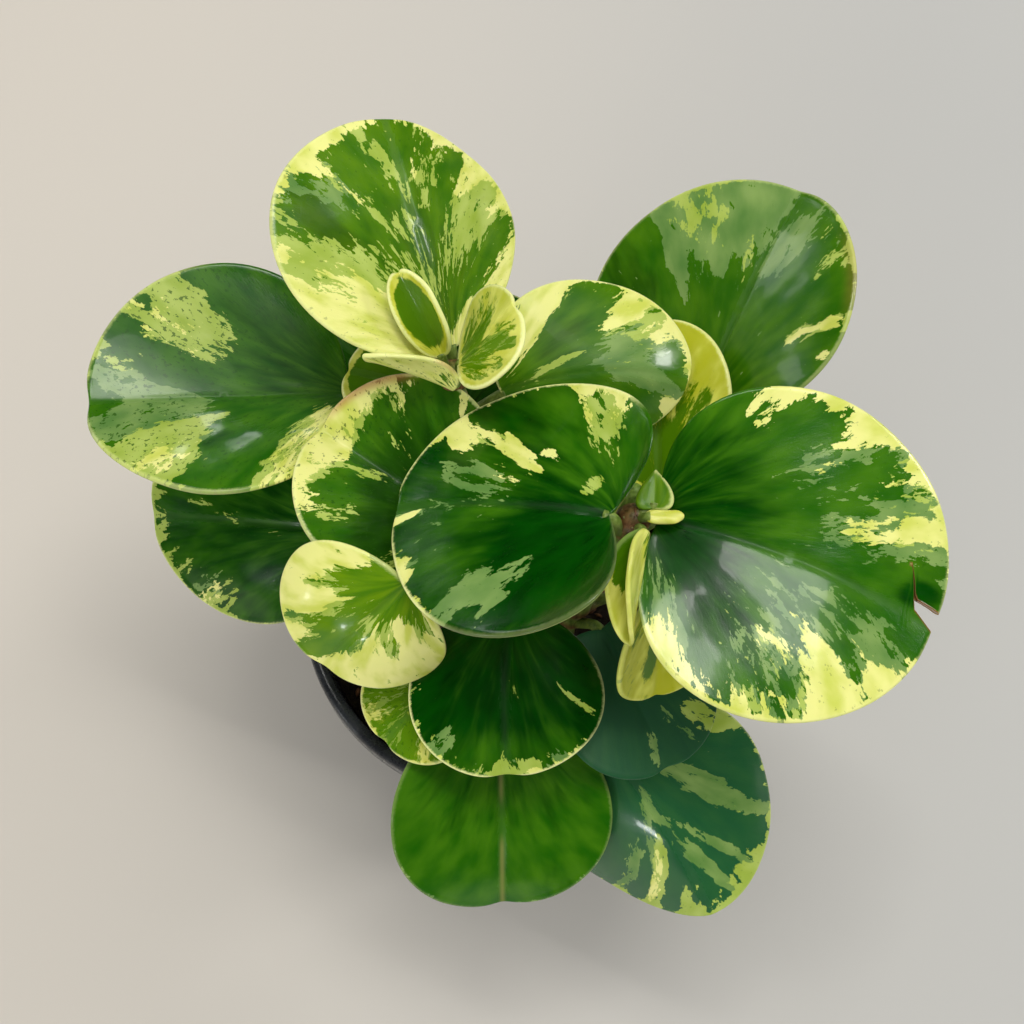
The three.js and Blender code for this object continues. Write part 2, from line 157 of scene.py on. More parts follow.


# ---------------------------------------------------------------- marbling

# Places on a blade are disc coordinates: x from -1 at the base to 1 at the tip, y from 1 at the
# left margin to -1 at the right one. "ground" is how much of each tone there is all over the blade.
# Under a tone's name stand its patches (x, y, half length, half width, strength), which lie along
# the veins, and "matt" has patches where the wax is duller. A rim is (tone, from, to, width,
# strength): a crescent along the margin between two angles, 0 at the tip and 90 at the left. An
# edge is (from, to, strength) of the thin pale line along the margin, and "blush" of a brown one.
# Of a tone, 0 is none, 0.65 covers half of the place in broken flecks, and 1 covers it all. "hue"
# turns green towards olive above 0, and below 0 towards a blue-green that is a painted reflection of
# the sky on leaves in shade; "young" is the share of a young leaf's colours, "speck" that of dark
# dots, "midrib" that of a brown midrib, and "dull" makes all the wax duller.
TONES = ("cream", "lime", "grey", "dark")
ALL_ROUND = (-180, 180)
PATTERNS = {
    "a1": {
        "ground": (-0.02, 0.35, 0.2, 0.15), "hue": 0.5, "speck": 0.35,
        "cream": [
            (-0.5, 0.8, 0.75, 0.22, 1), (-0.3, 0.55, 0.5, 0.1, 0.55), (-0.82, 0.42, 0.25, 0.16, 0.7),
            (-0.85, -0.2, 0.2, 0.06, 0.8), (0.2, 0.9, 0.14, 0.1, -0.8), (0.1, 0.62, 0.3, 0.09, -0.5),
            (0.45, 0.46, 0.5, 0.06, 0.6), (0.8, 0.55, 0.22, 0.2, 0.6), (0.62, -0.18, 0.35, 0.06, 0.5),
            (0.8, -0.45, 0.25, 0.12, 0.6), (-0.82, -0.4, 0.3, 0.12, 0.9), (-0.55, -0.72, 0.25, 0.14, 0.7),
            (0.05, -0.85, 0.4, 0.08, 0.6), (0.5, -0.75, 0.45, 0.13, 0.8),
        ],
        "lime": [
            (-0.2, 0.7, 0.7, 0.3, 0.6), (-0.1, 0.1, 0.5, 0.12, 0.3), (0.35, -0.2, 0.3, 0.1, 0.4),
            (0.6, 0.12, 0.4, 0.07, 0.5), (0.1, -0.65, 0.7, 0.2, 0.6),
        ],
        "grey": [(0.5, 0.7, 0.4, 0.2, 0.5)],
        "dark": [(0.1, 0.62, 0.3, 0.09, 0.8), (0.4, 0.72, 0.25, 0.07, 0.6), (-0.3, 0.0, 0.6, 0.35, 0.5)],
        "rims": [("cream", *ALL_ROUND, 0.1, 0.65)],
        "edges": [(*ALL_ROUND, 0.6)],
    },
    "a2": {
        "ground": (0, 0, 0, 0.1), "speck": 0.75,
        "cream": [
            (-0.5, 0.72, 0.55, 0.16, 0.75), (-0.88, 0.3, 0.14, 0.2, 0.9), (0.5, 0.7, 0.4, 0.16, 0.6),
            (0.4, -0.6, 0.4, 0.2, 0.5), (0.55, -0.8, 0.1, 0.05, -0.9),
        ],
        "lime": [
            (-0.5, 0.72, 0.6, 0.2, 1.2), (0.55, 0.62, 0.5, 0.3, 1.15), (0.25, 0.3, 0.4, 0.07, 0.7),
            (0.05, 0.48, 0.14, 0.07, -0.9), (0.35, -0.68, 0.55, 0.24, 1.1), (0.8, -0.35, 0.25, 0.1, 0.7),
            (0.6, -0.76, 0.12, 0.05, -1.1),
        ],
        "grey": [
            (0.55, 0.2, 0.5, 0.24, 0.95), (0.2, 0.48, 0.25, 0.1, 0.8), (0.05, 0.48, 0.14, 0.07, -0.9),
            (0.62, -0.12, 0.42, 0.16, 0.95), (0.34, -0.12, 0.24, 0.05, -0.7),
            (0.62, -0.3, 0.22, 0.06, -0.7),
        ],
        "dark": [(-0.25, 0.45, 0.6, 0.2, -0.6), (0.03, 0.47, 0.17, 0.09, 0.8), (-0.5, -0.3, 0.6, 0.4, 0.3)],
        "matt": [(0.1, -0.45, 1.3, 0.42, 0.9)],
        "rims": [("lime", -70, 80, 0.04, 0.5)],
        "edges": [(-80, 100, 0.35)],
    },
    "a3": {
        "ground": (0.05, 0.3, 0.2, -0.1), "speck": 0.2, "hue": 0.4,
        "cream": [
            (-0.25, 0.93, 0.7, 0.15, 1.1), (-0.5, 0.6, 0.5, 0.12, 0.8), (0.4, 0.75, 0.45, 0.16, 0.65),
            (0.3, 0.55, 0.3, 0.07, 0.5), (0.72, 0.5, 0.3, 0.14, 0.6), (0.88, -0.26, 0.14, 0.12, 1),
            (0.93, 0.2, 0.08, 0.3, 0.7),
        ],
        "lime": [(0.6, 0.6, 0.4, 0.25, 0.4), (-0.25, 0.4, 0.4, 0.2, -0.4), (-0.32, 0.13, 0.3, 0.04, 0.8)],
        "grey": [(0.45, 0.33, 0.42, 0.2, 0.75), (0.45, -0.02, 0.45, 0.12, 0.9)],
        "dark": [(-0.25, 0.35, 0.35, 0.2, 0.7), (-0.6, -0.02, 0.3, 0.15, 0.4)],
        "matt": [(-0.2, 0.4, 0.5, 0.5, 0.9)],
        "rims": [("cream", *ALL_ROUND, 0.05, 0.6)],
        "edges": [(*ALL_ROUND, 0.7)],
    },
    "a4": {
        "ground": (0.15, 0, 0, 0.35), "young": 0.7,
        "cream": [(0.5, -0.75, 0.5, 0.18, 0.6)],
        "rims": [("cream", *ALL_ROUND, 0.2, 1.1)],
        "edges": [(*ALL_ROUND, 1)],
    },
    "a5": {
        "ground": (0, 0.1, 0.1, 0.9),
        "lime": [(0.3, -0.6, 0.5, 0.15, 0.6)],
    },
    "a6": {
        "ground": (0, 0, 0.2, 0.6),
        "cream": [(0.6, -0.6, 0.4, 0.2, 0.7), (-0.1, -0.8, 0.4, 0.12, 0.6)],
        "lime": [(0.4, 0.5, 0.5, 0.25, 0.7)],
        "rims": [("cream", *ALL_ROUND, 0.06, 0.4)],
    },
    "a7": {
        "ground": (0, 0, 0.15, 0.7),
        "cream": [(0.5, 0.75, 0.4, 0.14, 0.7)],
        "lime": [(0.4, -0.65, 0.4, 0.2, 0.6)],
        "grey": [(0.4, 0.3, 0.5, 0.25, 0.7)],
        "rims": [("cream", *ALL_ROUND, 0.05, 0.4)],
    },
    "b1": {
        "ground": (0, 0, 0.05, 0.25), "speck": 0.35,
        "cream": [
            (-0.36, 0.82, 0.2, 0.1, 0.75), (0.3, 0.9, 0.6, 0.08, 0.35), (0.12, 0.86, 0.2, 0.08, 0.6),
            (0.55, 0.78, 0.3, 0.1, 0.4), (0.76, 0.58, 0.3, 0.12, 0.4), (0.45, 0.36, 0.34, 0.1, 0.62),
            (0.86, 0.34, 0.16, 0.1, 0.2), (0.5, -0.62, 0.28, 0.12, 0.85), (0.78, -0.46, 0.25, 0.09, 0.65),
            (0.1, -0.52, 0.2, 0.1, 0.5), (0.35, -0.42, 0.35, 0.06, 0.5), (-0.55, -0.78, 0.25, 0.1, 0.5),
        ],
        "lime": [(0.6, 0.55, 0.45, 0.35, 0.45), (0.2, -0.8, 0.7, 0.25, 0.45)],
        # The grey patches on the lower half, at (0.4, -0.3) and (0.75, -0.2), are grey-green marbling with
        # a painted sheen in them, where the wax mirrors the overhead light.
        "grey": [
            (0.1, 0.66, 0.5, 0.2, 0.5), (0.45, 0.4, 0.45, 0.2, 0.6), (0.8, 0.45, 0.3, 0.4, 0.45),
            (0.4, -0.3, 0.6, 0.22, 0.62), (0.75, -0.2, 0.3, 0.15, 0.4), (0.2, -0.75, 0.7, 0.2, 0.55),
            (-0.55, -0.55, 0.3, 0.14, 0.55),
        ],
        "dark": [
            (-0.7, 0.1, 0.5, 0.5, 0.6), (-0.4, -0.35, 0.5, 0.2, 0.5), (0.85, 0.5, 0.2, 0.3, 0.3),
            (0.83, 0.14, 0.14, 0.08, 0.9),
        ],
        "rims": [
            ("cream", -135, -55, 0.2, 0.62), ("grey", -170, -120, 0.2, 0.5), ("cream", -55, -15, 0.14, 0.6),
            ("cream", 55, 110, 0.12, 0.55), ("cream", 30, 55, 0.07, 0.45), ("cream", -175, 110, 0.03, 0.3),
        ],
        "edges": [(-150, 60, 0.35)],
    },
    "b2": {
        "ground": (0, 0, 0.05, 0.78), "speck": 0.3,
        "cream": [
            (0.18, -0.47, 0.4, 0.07, 0.95), (0.66, -0.63, 0.26, 0.12, 1.05), (-0.12, -0.4, 0.12, 0.05, 0.7),
            (0.45, -0.73, 0.25, 0.04, -0.7), (0.15, -0.22, 0.16, 0.05, 0.6),
            (-0.15, -0.94, 0.35, 0.06, 0.65), (-0.42, -0.84, 0.16, 0.1, 0.6), (0.84, 0.5, 0.14, 0.12, 0.75),
            (0.87, 0.08, 0.15, 0.03, 0.95),
        ],
        "lime": [
            (0.3, -0.5, 0.5, 0.16, 0.4), (-0.3, -0.85, 0.4, 0.12, 0.5), (-0.57, -0.2, 0.09, 0.08, 0.9),
            (-0.45, -0.62, 0.4, 0.14, 0.45), (0.8, 0.35, 0.2, 0.2, 0.3),
        ],
        "grey": [
            (0.55, 0.15, 0.5, 0.5, 0.4), (0.0, 0.6, 0.3, 0.1, 0.85), (0.34, 0.74, 0.35, 0.1, 0.95),
            (0.1, 0.85, 0.2, 0.05, 0.7), (0.35, -0.2, 0.35, 0.12, 0.5),
        ],
        "dark": [(-0.4, 0.4, 0.6, 0.5, 0.5), (0.5, 0.3, 0.6, 0.4, -0.15), (-0.4, -0.6, 0.6, 0.3, -0.45)],
        "rims": [("cream", -110, 60, 0.06, 0.5)],
        "edges": [(-120, 60, 1), (60, 180, 0.12)],
    },
    "b3": {
        "ground": (1.1, 0, 0, 0), "young": 1, "dull": 0.5,
        "cream": [
            (0.1, -0.15, 0.5, 0.16, -0.85), (-0.6, -0.5, 0.4, 0.2, -0.4), (0.2, -0.95, 0.3, 0.06, -0.6),
        ],
        "edges": [(*ALL_ROUND, 0.3)],
    },
    "b5": {
        # The hue of -1 turns b5's greens blue-green: a painted reflection of the sky on a leaf in shade.
        "ground": (0, 0, 0.22, 0.35), "hue": -1,
        "cream": [(0.5, -0.3, 0.5, 0.05, 0.65)],
        "lime": [
            (-0.5, 0.8, 0.4, 0.16, 1.1), (0.3, 0.56, 0.4, 0.04, 0.5), (0.8, 0.5, 0.24, 0.16, 0.75),
            (0.88, 0.15, 0.16, 0.3, 0.65), (0.5, -0.28, 0.6, 0.07, 1), (0.8, -0.12, 0.25, 0.1, 0.8),
            (0.55, -0.62, 0.35, 0.07, 0.7),
        ],
        "grey": [
            (-0.3, 0.34, 0.6, 0.06, 0.75), (0.1, 0.5, 0.5, 0.06, 0.75), (0.35, 0.68, 0.45, 0.05, 0.75),
            (0.5, 0.34, 0.5, 0.05, 0.75), (0.6, 0.16, 0.5, 0.05, 0.75), (0.2, 0.08, 0.5, 0.04, 0.6),
            (0.1, -0.14, 0.6, 0.06, 0.6), (0.4, -0.5, 0.5, 0.08, 0.75),
        ],
        "rims": [("lime", -60, 140, 0.08, 0.65)],
        "edges": [(-60, 120, 0.3)],
    },
    "b6": {
        "ground": (0, 0, 0.2, 0.7),
        "cream": [(0.5, 0.5, 0.5, 0.2, 0.6)],
        "lime": [(0.2, -0.6, 0.5, 0.2, 0.6)],
        "rims": [("cream", *ALL_ROUND, 0.05, 0.4)],
    },
    "b7": {
        # b7 lies deep in the plant: its dark ground and dark patch are painted shade, and its hue of -0.85
        # is a painted reflection of the sky, as on b5.
        "ground": (0, 0, 0.1, 0.8), "hue": -0.85, "dull": 0.7,
        "lime": [(0.5, 0.66, 0.35, 0.2, 0.85)],
        "grey": [(0.5, 0.35, 0.5, 0.08, 0.6), (0.6, -0.05, 0.4, 0.08, 0.6)],
        "dark": [(-0.3, 0, 0.5, 0.6, 0.5)],
        "edges": [(*ALL_ROUND, 0)],
    },
    "c1": {
        "ground": (0, 0.2, 0, 0.35), "speck": 0.7, "hue": 0.2,
        "cream": [
            (0.88, 0, 0.24, 0.75, 1.05), (0.6, 0.7, 0.2, 0.22, 0.65), (0.55, -0.72, 0.22, 0.18, 0.75),
            (0.66, 0.1, 0.2, 0.14, 0.6), (-0.1, -0.95, 0.3, 0.06, 0.7),
        ],
        "lime": [
            (0.82, 0, 0.25, 0.8, 0.7), (0.2, 0.08, 0.35, 0.06, 0.35), (0.4, 0.16, 0.25, 0.05, 0.3),
            (0.15, -0.25, 0.3, 0.06, 0.3), (0.35, -0.55, 0.3, 0.1, 0.35), (0.3, 0.6, 0.3, 0.1, 0.35),
            (-0.3, 0.85, 0.4, 0.12, 0.6),
        ],
        "dark": [(-0.1, 0.1, 0.4, 0.8, 0.7)],
        "edges": [(*ALL_ROUND, 0.6)],
        "blush": (-60, -10, 0.6),
    },
    "c2": {
        "ground": (1.0, 0.55, 0, -0.4), "hue": 1, "speck": 0.1,
        "cream": [
            (-0.8, -0.05, 0.25, 0.35, -0.9), (-0.7, 0.36, 0.2, 0.1, -0.65),
            (-0.55, -0.35, 0.3, 0.14, -0.75), (-0.2, -0.12, 0.42, 0.2, -0.75),
            (0.4, -0.1, 0.5, 0.18, -0.75), (0.72, -0.2, 0.3, 0.1, -0.55), (0.3, -0.35, 0.5, 0.1, -0.6),
            (-0.2, 0.28, 0.25, 0.1, -0.5), (-0.2, -0.5, 0.3, 0.07, -0.5),
        ],
        "lime": [(-0.8, -0.15, 0.4, 0.4, -0.3), (0.5, -0.1, 0.5, 0.1, -0.35)],
        "edges": [(*ALL_ROUND, 0.5)],
    },
    "c3": {
        "ground": (0, 0, 0, 1), "speck": 0.1,
        "cream": [(0.87, 0.27, 0.15, 0.07, 0.5)],
        "lime": [
            (0.8, -0.04, 0.24, 0.08, 0.55), (0.85, 0.1, 0.14, 0.3, 0.5), (-0.1, 0.6, 0.35, 0.05, 0.5),
            (0.0, 0.1, 0.35, 0.05, 0.5), (0.1, 0.8, 0.3, 0.05, 0.5),
        ],
        "grey": [(0.52, -0.62, 0.26, 0.14, 0.8), (0.7, 0.58, 0.16, 0.12, 0.65), (0.85, 0, 0.16, 0.6, 0.5)],
        "dark": [(0.8, 0, 0.4, 1, -0.5)],
        "rims": [("cream", -90, 60, 0.08, 0.5), ("lime", -110, 60, 0.2, 0.45)],
        "edges": [(-120, 55, 1), (55, 120, 0.4)],
    },
    "c4": {
        "ground": (0.25, 0.5, 0, -0.1), "speck": 0.8, "hue": 1, "young": 0.5,
        "cream": [(0.4, 0.6, 0.5, 0.12, 0.4), (0.6, -0.5, 0.4, 0.22, 0.35), (0.45, 0.28, 0.4, 0.12, -0.5)],
        "lime": [(0.45, 0.28, 0.4, 0.12, -0.6)],
        "dark": [(0.45, 0.28, 0.4, 0.1, 0.6), (0.2, -0.4, 0.3, 0.08, 0.5)],
        "rims": [("cream", *ALL_ROUND, 0.08, 0.5)],
        "edges": [(*ALL_ROUND, 0.6)],
    },
    "c5": {
        "ground": (-0.3, -0.3, -0.2, -0.05), "speck": 0, "midrib": 0.75,
        # The first dark patch, over the base half, is painted shade where c3 hangs above.
        "dark": [(-0.3, 0, 0.5, 1, 0.5), (0.7, 0.5, 0.3, 0.2, 0.4), (0.6, -0.6, 0.3, 0.15, 0.35)],
        "rims": [("grey", -75, 75, 0.06, 0.9)],
        "edges": [(*ALL_ROUND, 0.12)],
    },
    "c6": {
        "ground": (0, 0.12, 0, 0.7), "speck": 0.5,
        "cream": [(0.5, 0.76, 0.3, 0.14, 0.55)],
        "lime": [
            (0.3, 0.78, 0.35, 0.16, 0.6), (0.76, 0.45, 0.25, 0.14, 0.55), (0.15, -0.06, 0.6, 0.06, 0.45),
            (0.88, 0, 0.12, 0.3, 0.6),
        ],
        "grey": [(0.5, 0.65, 0.35, 0.2, 0.5)],
        "rims": [("lime", -60, 110, 0.05, 0.5)],
        "edges": [(-60, 110, 0.7)],
    },
    "d1": {
        "ground": (1.1, 0, 0, 0), "young": 0.85, "speck": 0.15,
        "cream": [(-0.7, -0.1, 0.5, 0.6, -1), (-0.05, -0.5, 0.25, 0.3, -0.5)],
        "rims": [("cream", *ALL_ROUND, 0.08, 0.8)],
        "edges": [(*ALL_ROUND, 0.8)],
    },
    "d2": {
        "ground": (0, 0, 0.3, -0.1), "speck": 0.1, "hue": 0.25,
        "cream": [
            (-0.04, -0.65, 0.14, 0.05, 0.9), (0.12, -0.88, 0.16, 0.05, 0.85),
            (-0.12, -0.95, 0.1, 0.05, 0.8),
        ],
        "lime": [
            (0.65, 0.6, 0.4, 0.25, 0.75), (0.4, 0.1, 0.25, 0.04, 0.7), (0.0, -0.75, 0.3, 0.12, 0.5),
            (0.56, -0.68, 0.28, 0.14, 0.65), (0.76, -0.48, 0.2, 0.1, 0.6),
        ],
        "grey": [
            (0.75, 0.5, 0.5, 0.38, 1.2), (0.9, 0.16, 0.2, 0.2, 0.8), (0.2, 0.55, 0.3, 0.06, 0.8),
            (0.4, 0.32, 0.25, 0.06, 0.8), (0.6, -0.2, 0.34, 0.16, 0.7),
        ],
        "dark": [(0.0, 0.88, 0.5, 0.18, 0.8), (-0.2, 0.3, 0.5, 0.4, 0.25)],
        "rims": [("lime", -100, 120, 0.03, 0.5)],
        "edges": [(-120, 120, 0.3)],
        "blush": (-75, -40, 0.2),
    },
    "d3": {
        "ground": (0, 0, 0.2, 0.7),
        "cream": [(0.4, -0.6, 0.5, 0.2, 0.6)],
        "lime": [(0.5, 0.4, 0.5, 0.2, 0.6)],
        "rims": [("cream", *ALL_ROUND, 0.05, 0.4)],
    },
    "a11": {
        "ground": (0, 0, 0, 0.1), "young": 0.9,
        "rims": [("cream", *ALL_ROUND, 0.24, 1)],
        "edges": [(*ALL_ROUND, 1)],
    },
    "a12": {
        "ground": (0.7, 0.5, 0, -0.4), "hue": 1, "young": 0.6,
        "cream": [
            (-0.5, -0.1, 0.5, 0.5, -0.35), (0.3, -0.4, 0.4, 0.12, -0.35), (0.1, 0.3, 0.6, 0.1, -0.3),
            (0.65, 0.3, 0.4, 0.4, 0.4),
        ],
        "rims": [("cream", *ALL_ROUND, 0.12, 0.8)],
        "edges": [(*ALL_ROUND, 1)],
    },
    "a13": {
        "ground": (1.2, 0, 0, 0), "young": 0, "speck": 0.6,
        "cream": [(-0.8, 0.3, 0.3, 0.3, -0.5)],
        "edges": [(*ALL_ROUND, 0.6)],
        "blush": (110, 145, 0.4),
    },
    "b11": {
        "ground": (1.2, 0, 0, 0), "young": 0.55, "speck": 0.3,
        # The two cream patches taken out of the west half towards the base leave it green there: painted
        # shade, where b2 hangs over it.
        "cream": [(-0.6, -0.35, 0.55, 0.4, -1.3), (-0.1, -0.2, 0.5, 0.1, -0.5)],
        "edges": [(*ALL_ROUND, 0.15)],
    },
    "b12": {
        "ground": (1.2, 0, 0, 0), "young": 0.45,
        "edges": [(*ALL_ROUND, 0)],
    },
    "b13": {
        "ground": (-0.3, -0.3, 0, -0.4), "hue": 1, "dull": 0.6,
        "edges": [(-180, 10, 0.6)],
    },
}

# ---------------------------------------------------------------- small helpers


def rgb(code):
    """Linear colour of a hex code."""
    parts = [int(code[k : k + 2], 16) / 255 for k in (0, 2, 4)]
    return [c / 12.92 if c <= 0.04045 else ((c + 0.055) / 1.055) ** 2.4 for c in parts] + [1]


def smooth(value):
    value = np.clip(value, 0, 1)
    return value * value * (3 - 2 * value)


def beyond(value, start, width):
    return smooth((value - start) / width)


def bell(distance, width):
    return np.exp(-((distance / width) ** 2))


ATTRIBUTE_KINDS = {1: ("FLOAT", "value"), 3: ("FLOAT_VECTOR", "vector"), 4: ("FLOAT_COLOR", "color")}


def mesh_object(name, points, faces, attributes=None):
    """A smooth-shaded mesh in metres from points in mm, with point attributes."""
    mesh = bpy.data.meshes.new(name)
    mesh.from_pydata((np.asarray(points) * MM).tolist(), [], faces)
    for key, values in (attributes or {}).items():
        values = np.asarray(values, np.float32)
        kind, target = ATTRIBUTE_KINDS[values.size // len(values)]
        mesh.attributes.new(key, kind, "POINT").data.foreach_set(target, values.ravel())
    mesh.polygons.foreach_set("use_smooth", [True] * len(mesh.polygons))
    mesh.update()
    made = bpy.data.objects.new(name, mesh)
    bpy.context.scene.collection.objects.link(made)
    return made


def dress(piece, slot, *nodes):
    """The piece moves with the plant and stands for those CAD nodes. The slot is not used."""
    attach(piece, "root")
    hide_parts(*nodes)


def circle(radius, count, height=0):
    """Points of a level ring about the axis."""
    turns = [2 * math.pi * k / count for k in range(count)]
    return [(radius * math.cos(turn), radius * math.sin(turn), height) for turn in turns]


def ring_faces(sides, rings):
    """Faces between rings of points that follow one another."""
    faces = []
    for r in range(rings - 1):
        for k in range(sides):
            n = (k + 1) % sides
            a = r * sides
            faces.append((a + k, a + n, a + sides + n, a + sides + k))
    return faces


def ball_faces(start, sides, rings):
    """Faces over rings of points that stand between a first point, of that number, and a last one."""
    last = start + 1 + sides * rings
    faces = []
    for k in range(sides):
        n = (k + 1) % sides
        faces.append((start, start + 1 + k, start + 1 + n))
        for r in range(rings - 1):
            a = start + 1 + r * sides
            faces.append((a + k, a + sides + k, a + sides + n, a + n))
        faces.append((last - sides + k, last, last - sides + n))
    return faces


# ---------------------------------------------------------------- node helpers


class Shader:
    """A few short forms for building a material's nodes."""

    def __init__(self, name):
        self.material = bpy.data.materials.new(name)
        self.material.use_nodes = True
        self.tree = self.material.node_tree
        self.tree.nodes.clear()
        self.surface = self.tree.nodes.new("ShaderNodeBsdfPrincipled")
        output = self.tree.nodes.new("ShaderNodeOutputMaterial")
        self.tree.links.new(self.surface.outputs[0], output.inputs[0])

    def put(self, socket, value):
        if isinstance(value, bpy.types.NodeSocket):
            self.tree.links.new(value, socket)
        elif value is not None:
            socket.default_value = value

    def attribute(self, name, output="Fac"):
        node = self.tree.nodes.new("ShaderNodeAttribute")
        node.attribute_name = name
        return node.outputs[output]

    def tones(self, name):
        node = self.tree.nodes.new("ShaderNodeAttribute")
        node.attribute_name = name
        parts = self.tree.nodes.new("ShaderNodeSeparateColor")
        self.put(parts.inputs[0], node.outputs["Color"])
        return [*parts.outputs, node.outputs["Alpha"]]

    def math(self, operation, a, b=None, c=None, clamp=False):
        node = self.tree.nodes.new("ShaderNodeMath")
        node.operation = operation
        node.use_clamp = clamp
        for socket, value in zip(node.inputs, (a, b, c)):
            self.put(socket, value)
        return node.outputs[0]

    def stretch(self, vector, factors):
        node = self.tree.nodes.new("ShaderNodeVectorMath")
        node.operation = "MULTIPLY"
        self.put(node.inputs[0], vector)
        self.put(node.inputs[1], factors)
        return node.outputs[0]

    def noise(self, vector, scale, detail=4, roughness=0.55, distortion=0.0):
        node = self.tree.nodes.new("ShaderNodeTexNoise")
        self.put(node.inputs["Vector"], vector)
        self.put(node.inputs["Scale"], scale)
        self.put(node.inputs["Detail"], detail)
        self.put(node.inputs["Roughness"], roughness)
        self.put(node.inputs["Distortion"], distortion)
        return node.outputs[0]

    def step(self, value, low, high, to_low=0.0, to_high=1.0):
        node = self.tree.nodes.new("ShaderNodeMapRange")
        node.interpolation_type = "SMOOTHSTEP"
        for socket, item in zip(node.inputs, (value, low, high, to_low, to_high)):
            self.put(socket, item)
        return node.outputs[0]

    def mix(self, share, a, b):
        node = self.tree.nodes.new("ShaderNodeMix")
        node.data_type = "RGBA"
        self.put(node.inputs[0], share)
        self.put(node.inputs[6], a)
        self.put(node.inputs[7], b)
        return node.outputs[2]

    def bump(self, height, strength, distance, after=None):
        node = self.tree.nodes.new("ShaderNodeBump")
        self.put(node.inputs["Height"], height)
        self.put(node.inputs["Strength"], strength)
        self.put(node.inputs["Distance"], distance)
        if after is not None:
            self.put(node.inputs["Normal"], after)
        return node.outputs[0]

    def place(self):
        return self.tree.nodes.new("ShaderNodeTexCoord").outputs["Object"]

    def finish(self, **inputs):
        for name, value in inputs.items():
            self.put(self.surface.inputs[name.replace("_", " ")], value)
        return self.material


# ---------------------------------------------------------------- materials

COLOURS = {
    "deep": rgb("002e00"),
    "dark": rgb("044700"),
    "green": rgb("145600"),
    "bright": rgb("43760a"),
    "olive": rgb("789a0a"),
    # a painted reflection of the sky on leaves in shade
    "sky_reflection_teal": rgb("22593a"),
    "grey": rgb("4d7a35"),
    "grey_pale": rgb("86a258"),
    "lime": rgb("8fa834"),
    "lime_pale": rgb("b3c464"),
    "cream": rgb("c6ce58"),
    "cream_pale": rgb("e4e48a"),
    "young": rgb("b9bd18"),
    "young_pale": rgb("dcdf58"),
    "young_green": rgb("4f7a02"),
    "rim": rgb("e6e99a"),
    "under": rgb("a3b256"),
    "midrib": rgb("8f8a4a"),
    "blush": rgb("a8583f"),
    "speck": rgb("235208"),
}


CREAM_HELP = 0.35  # share of the cream around it that is added to the grey and the lime
DULL_ROUGHNESS = 0.4  # added where the wax is fully dull
COAT = 0.3  # of gloss, and none where the wax is fully dull


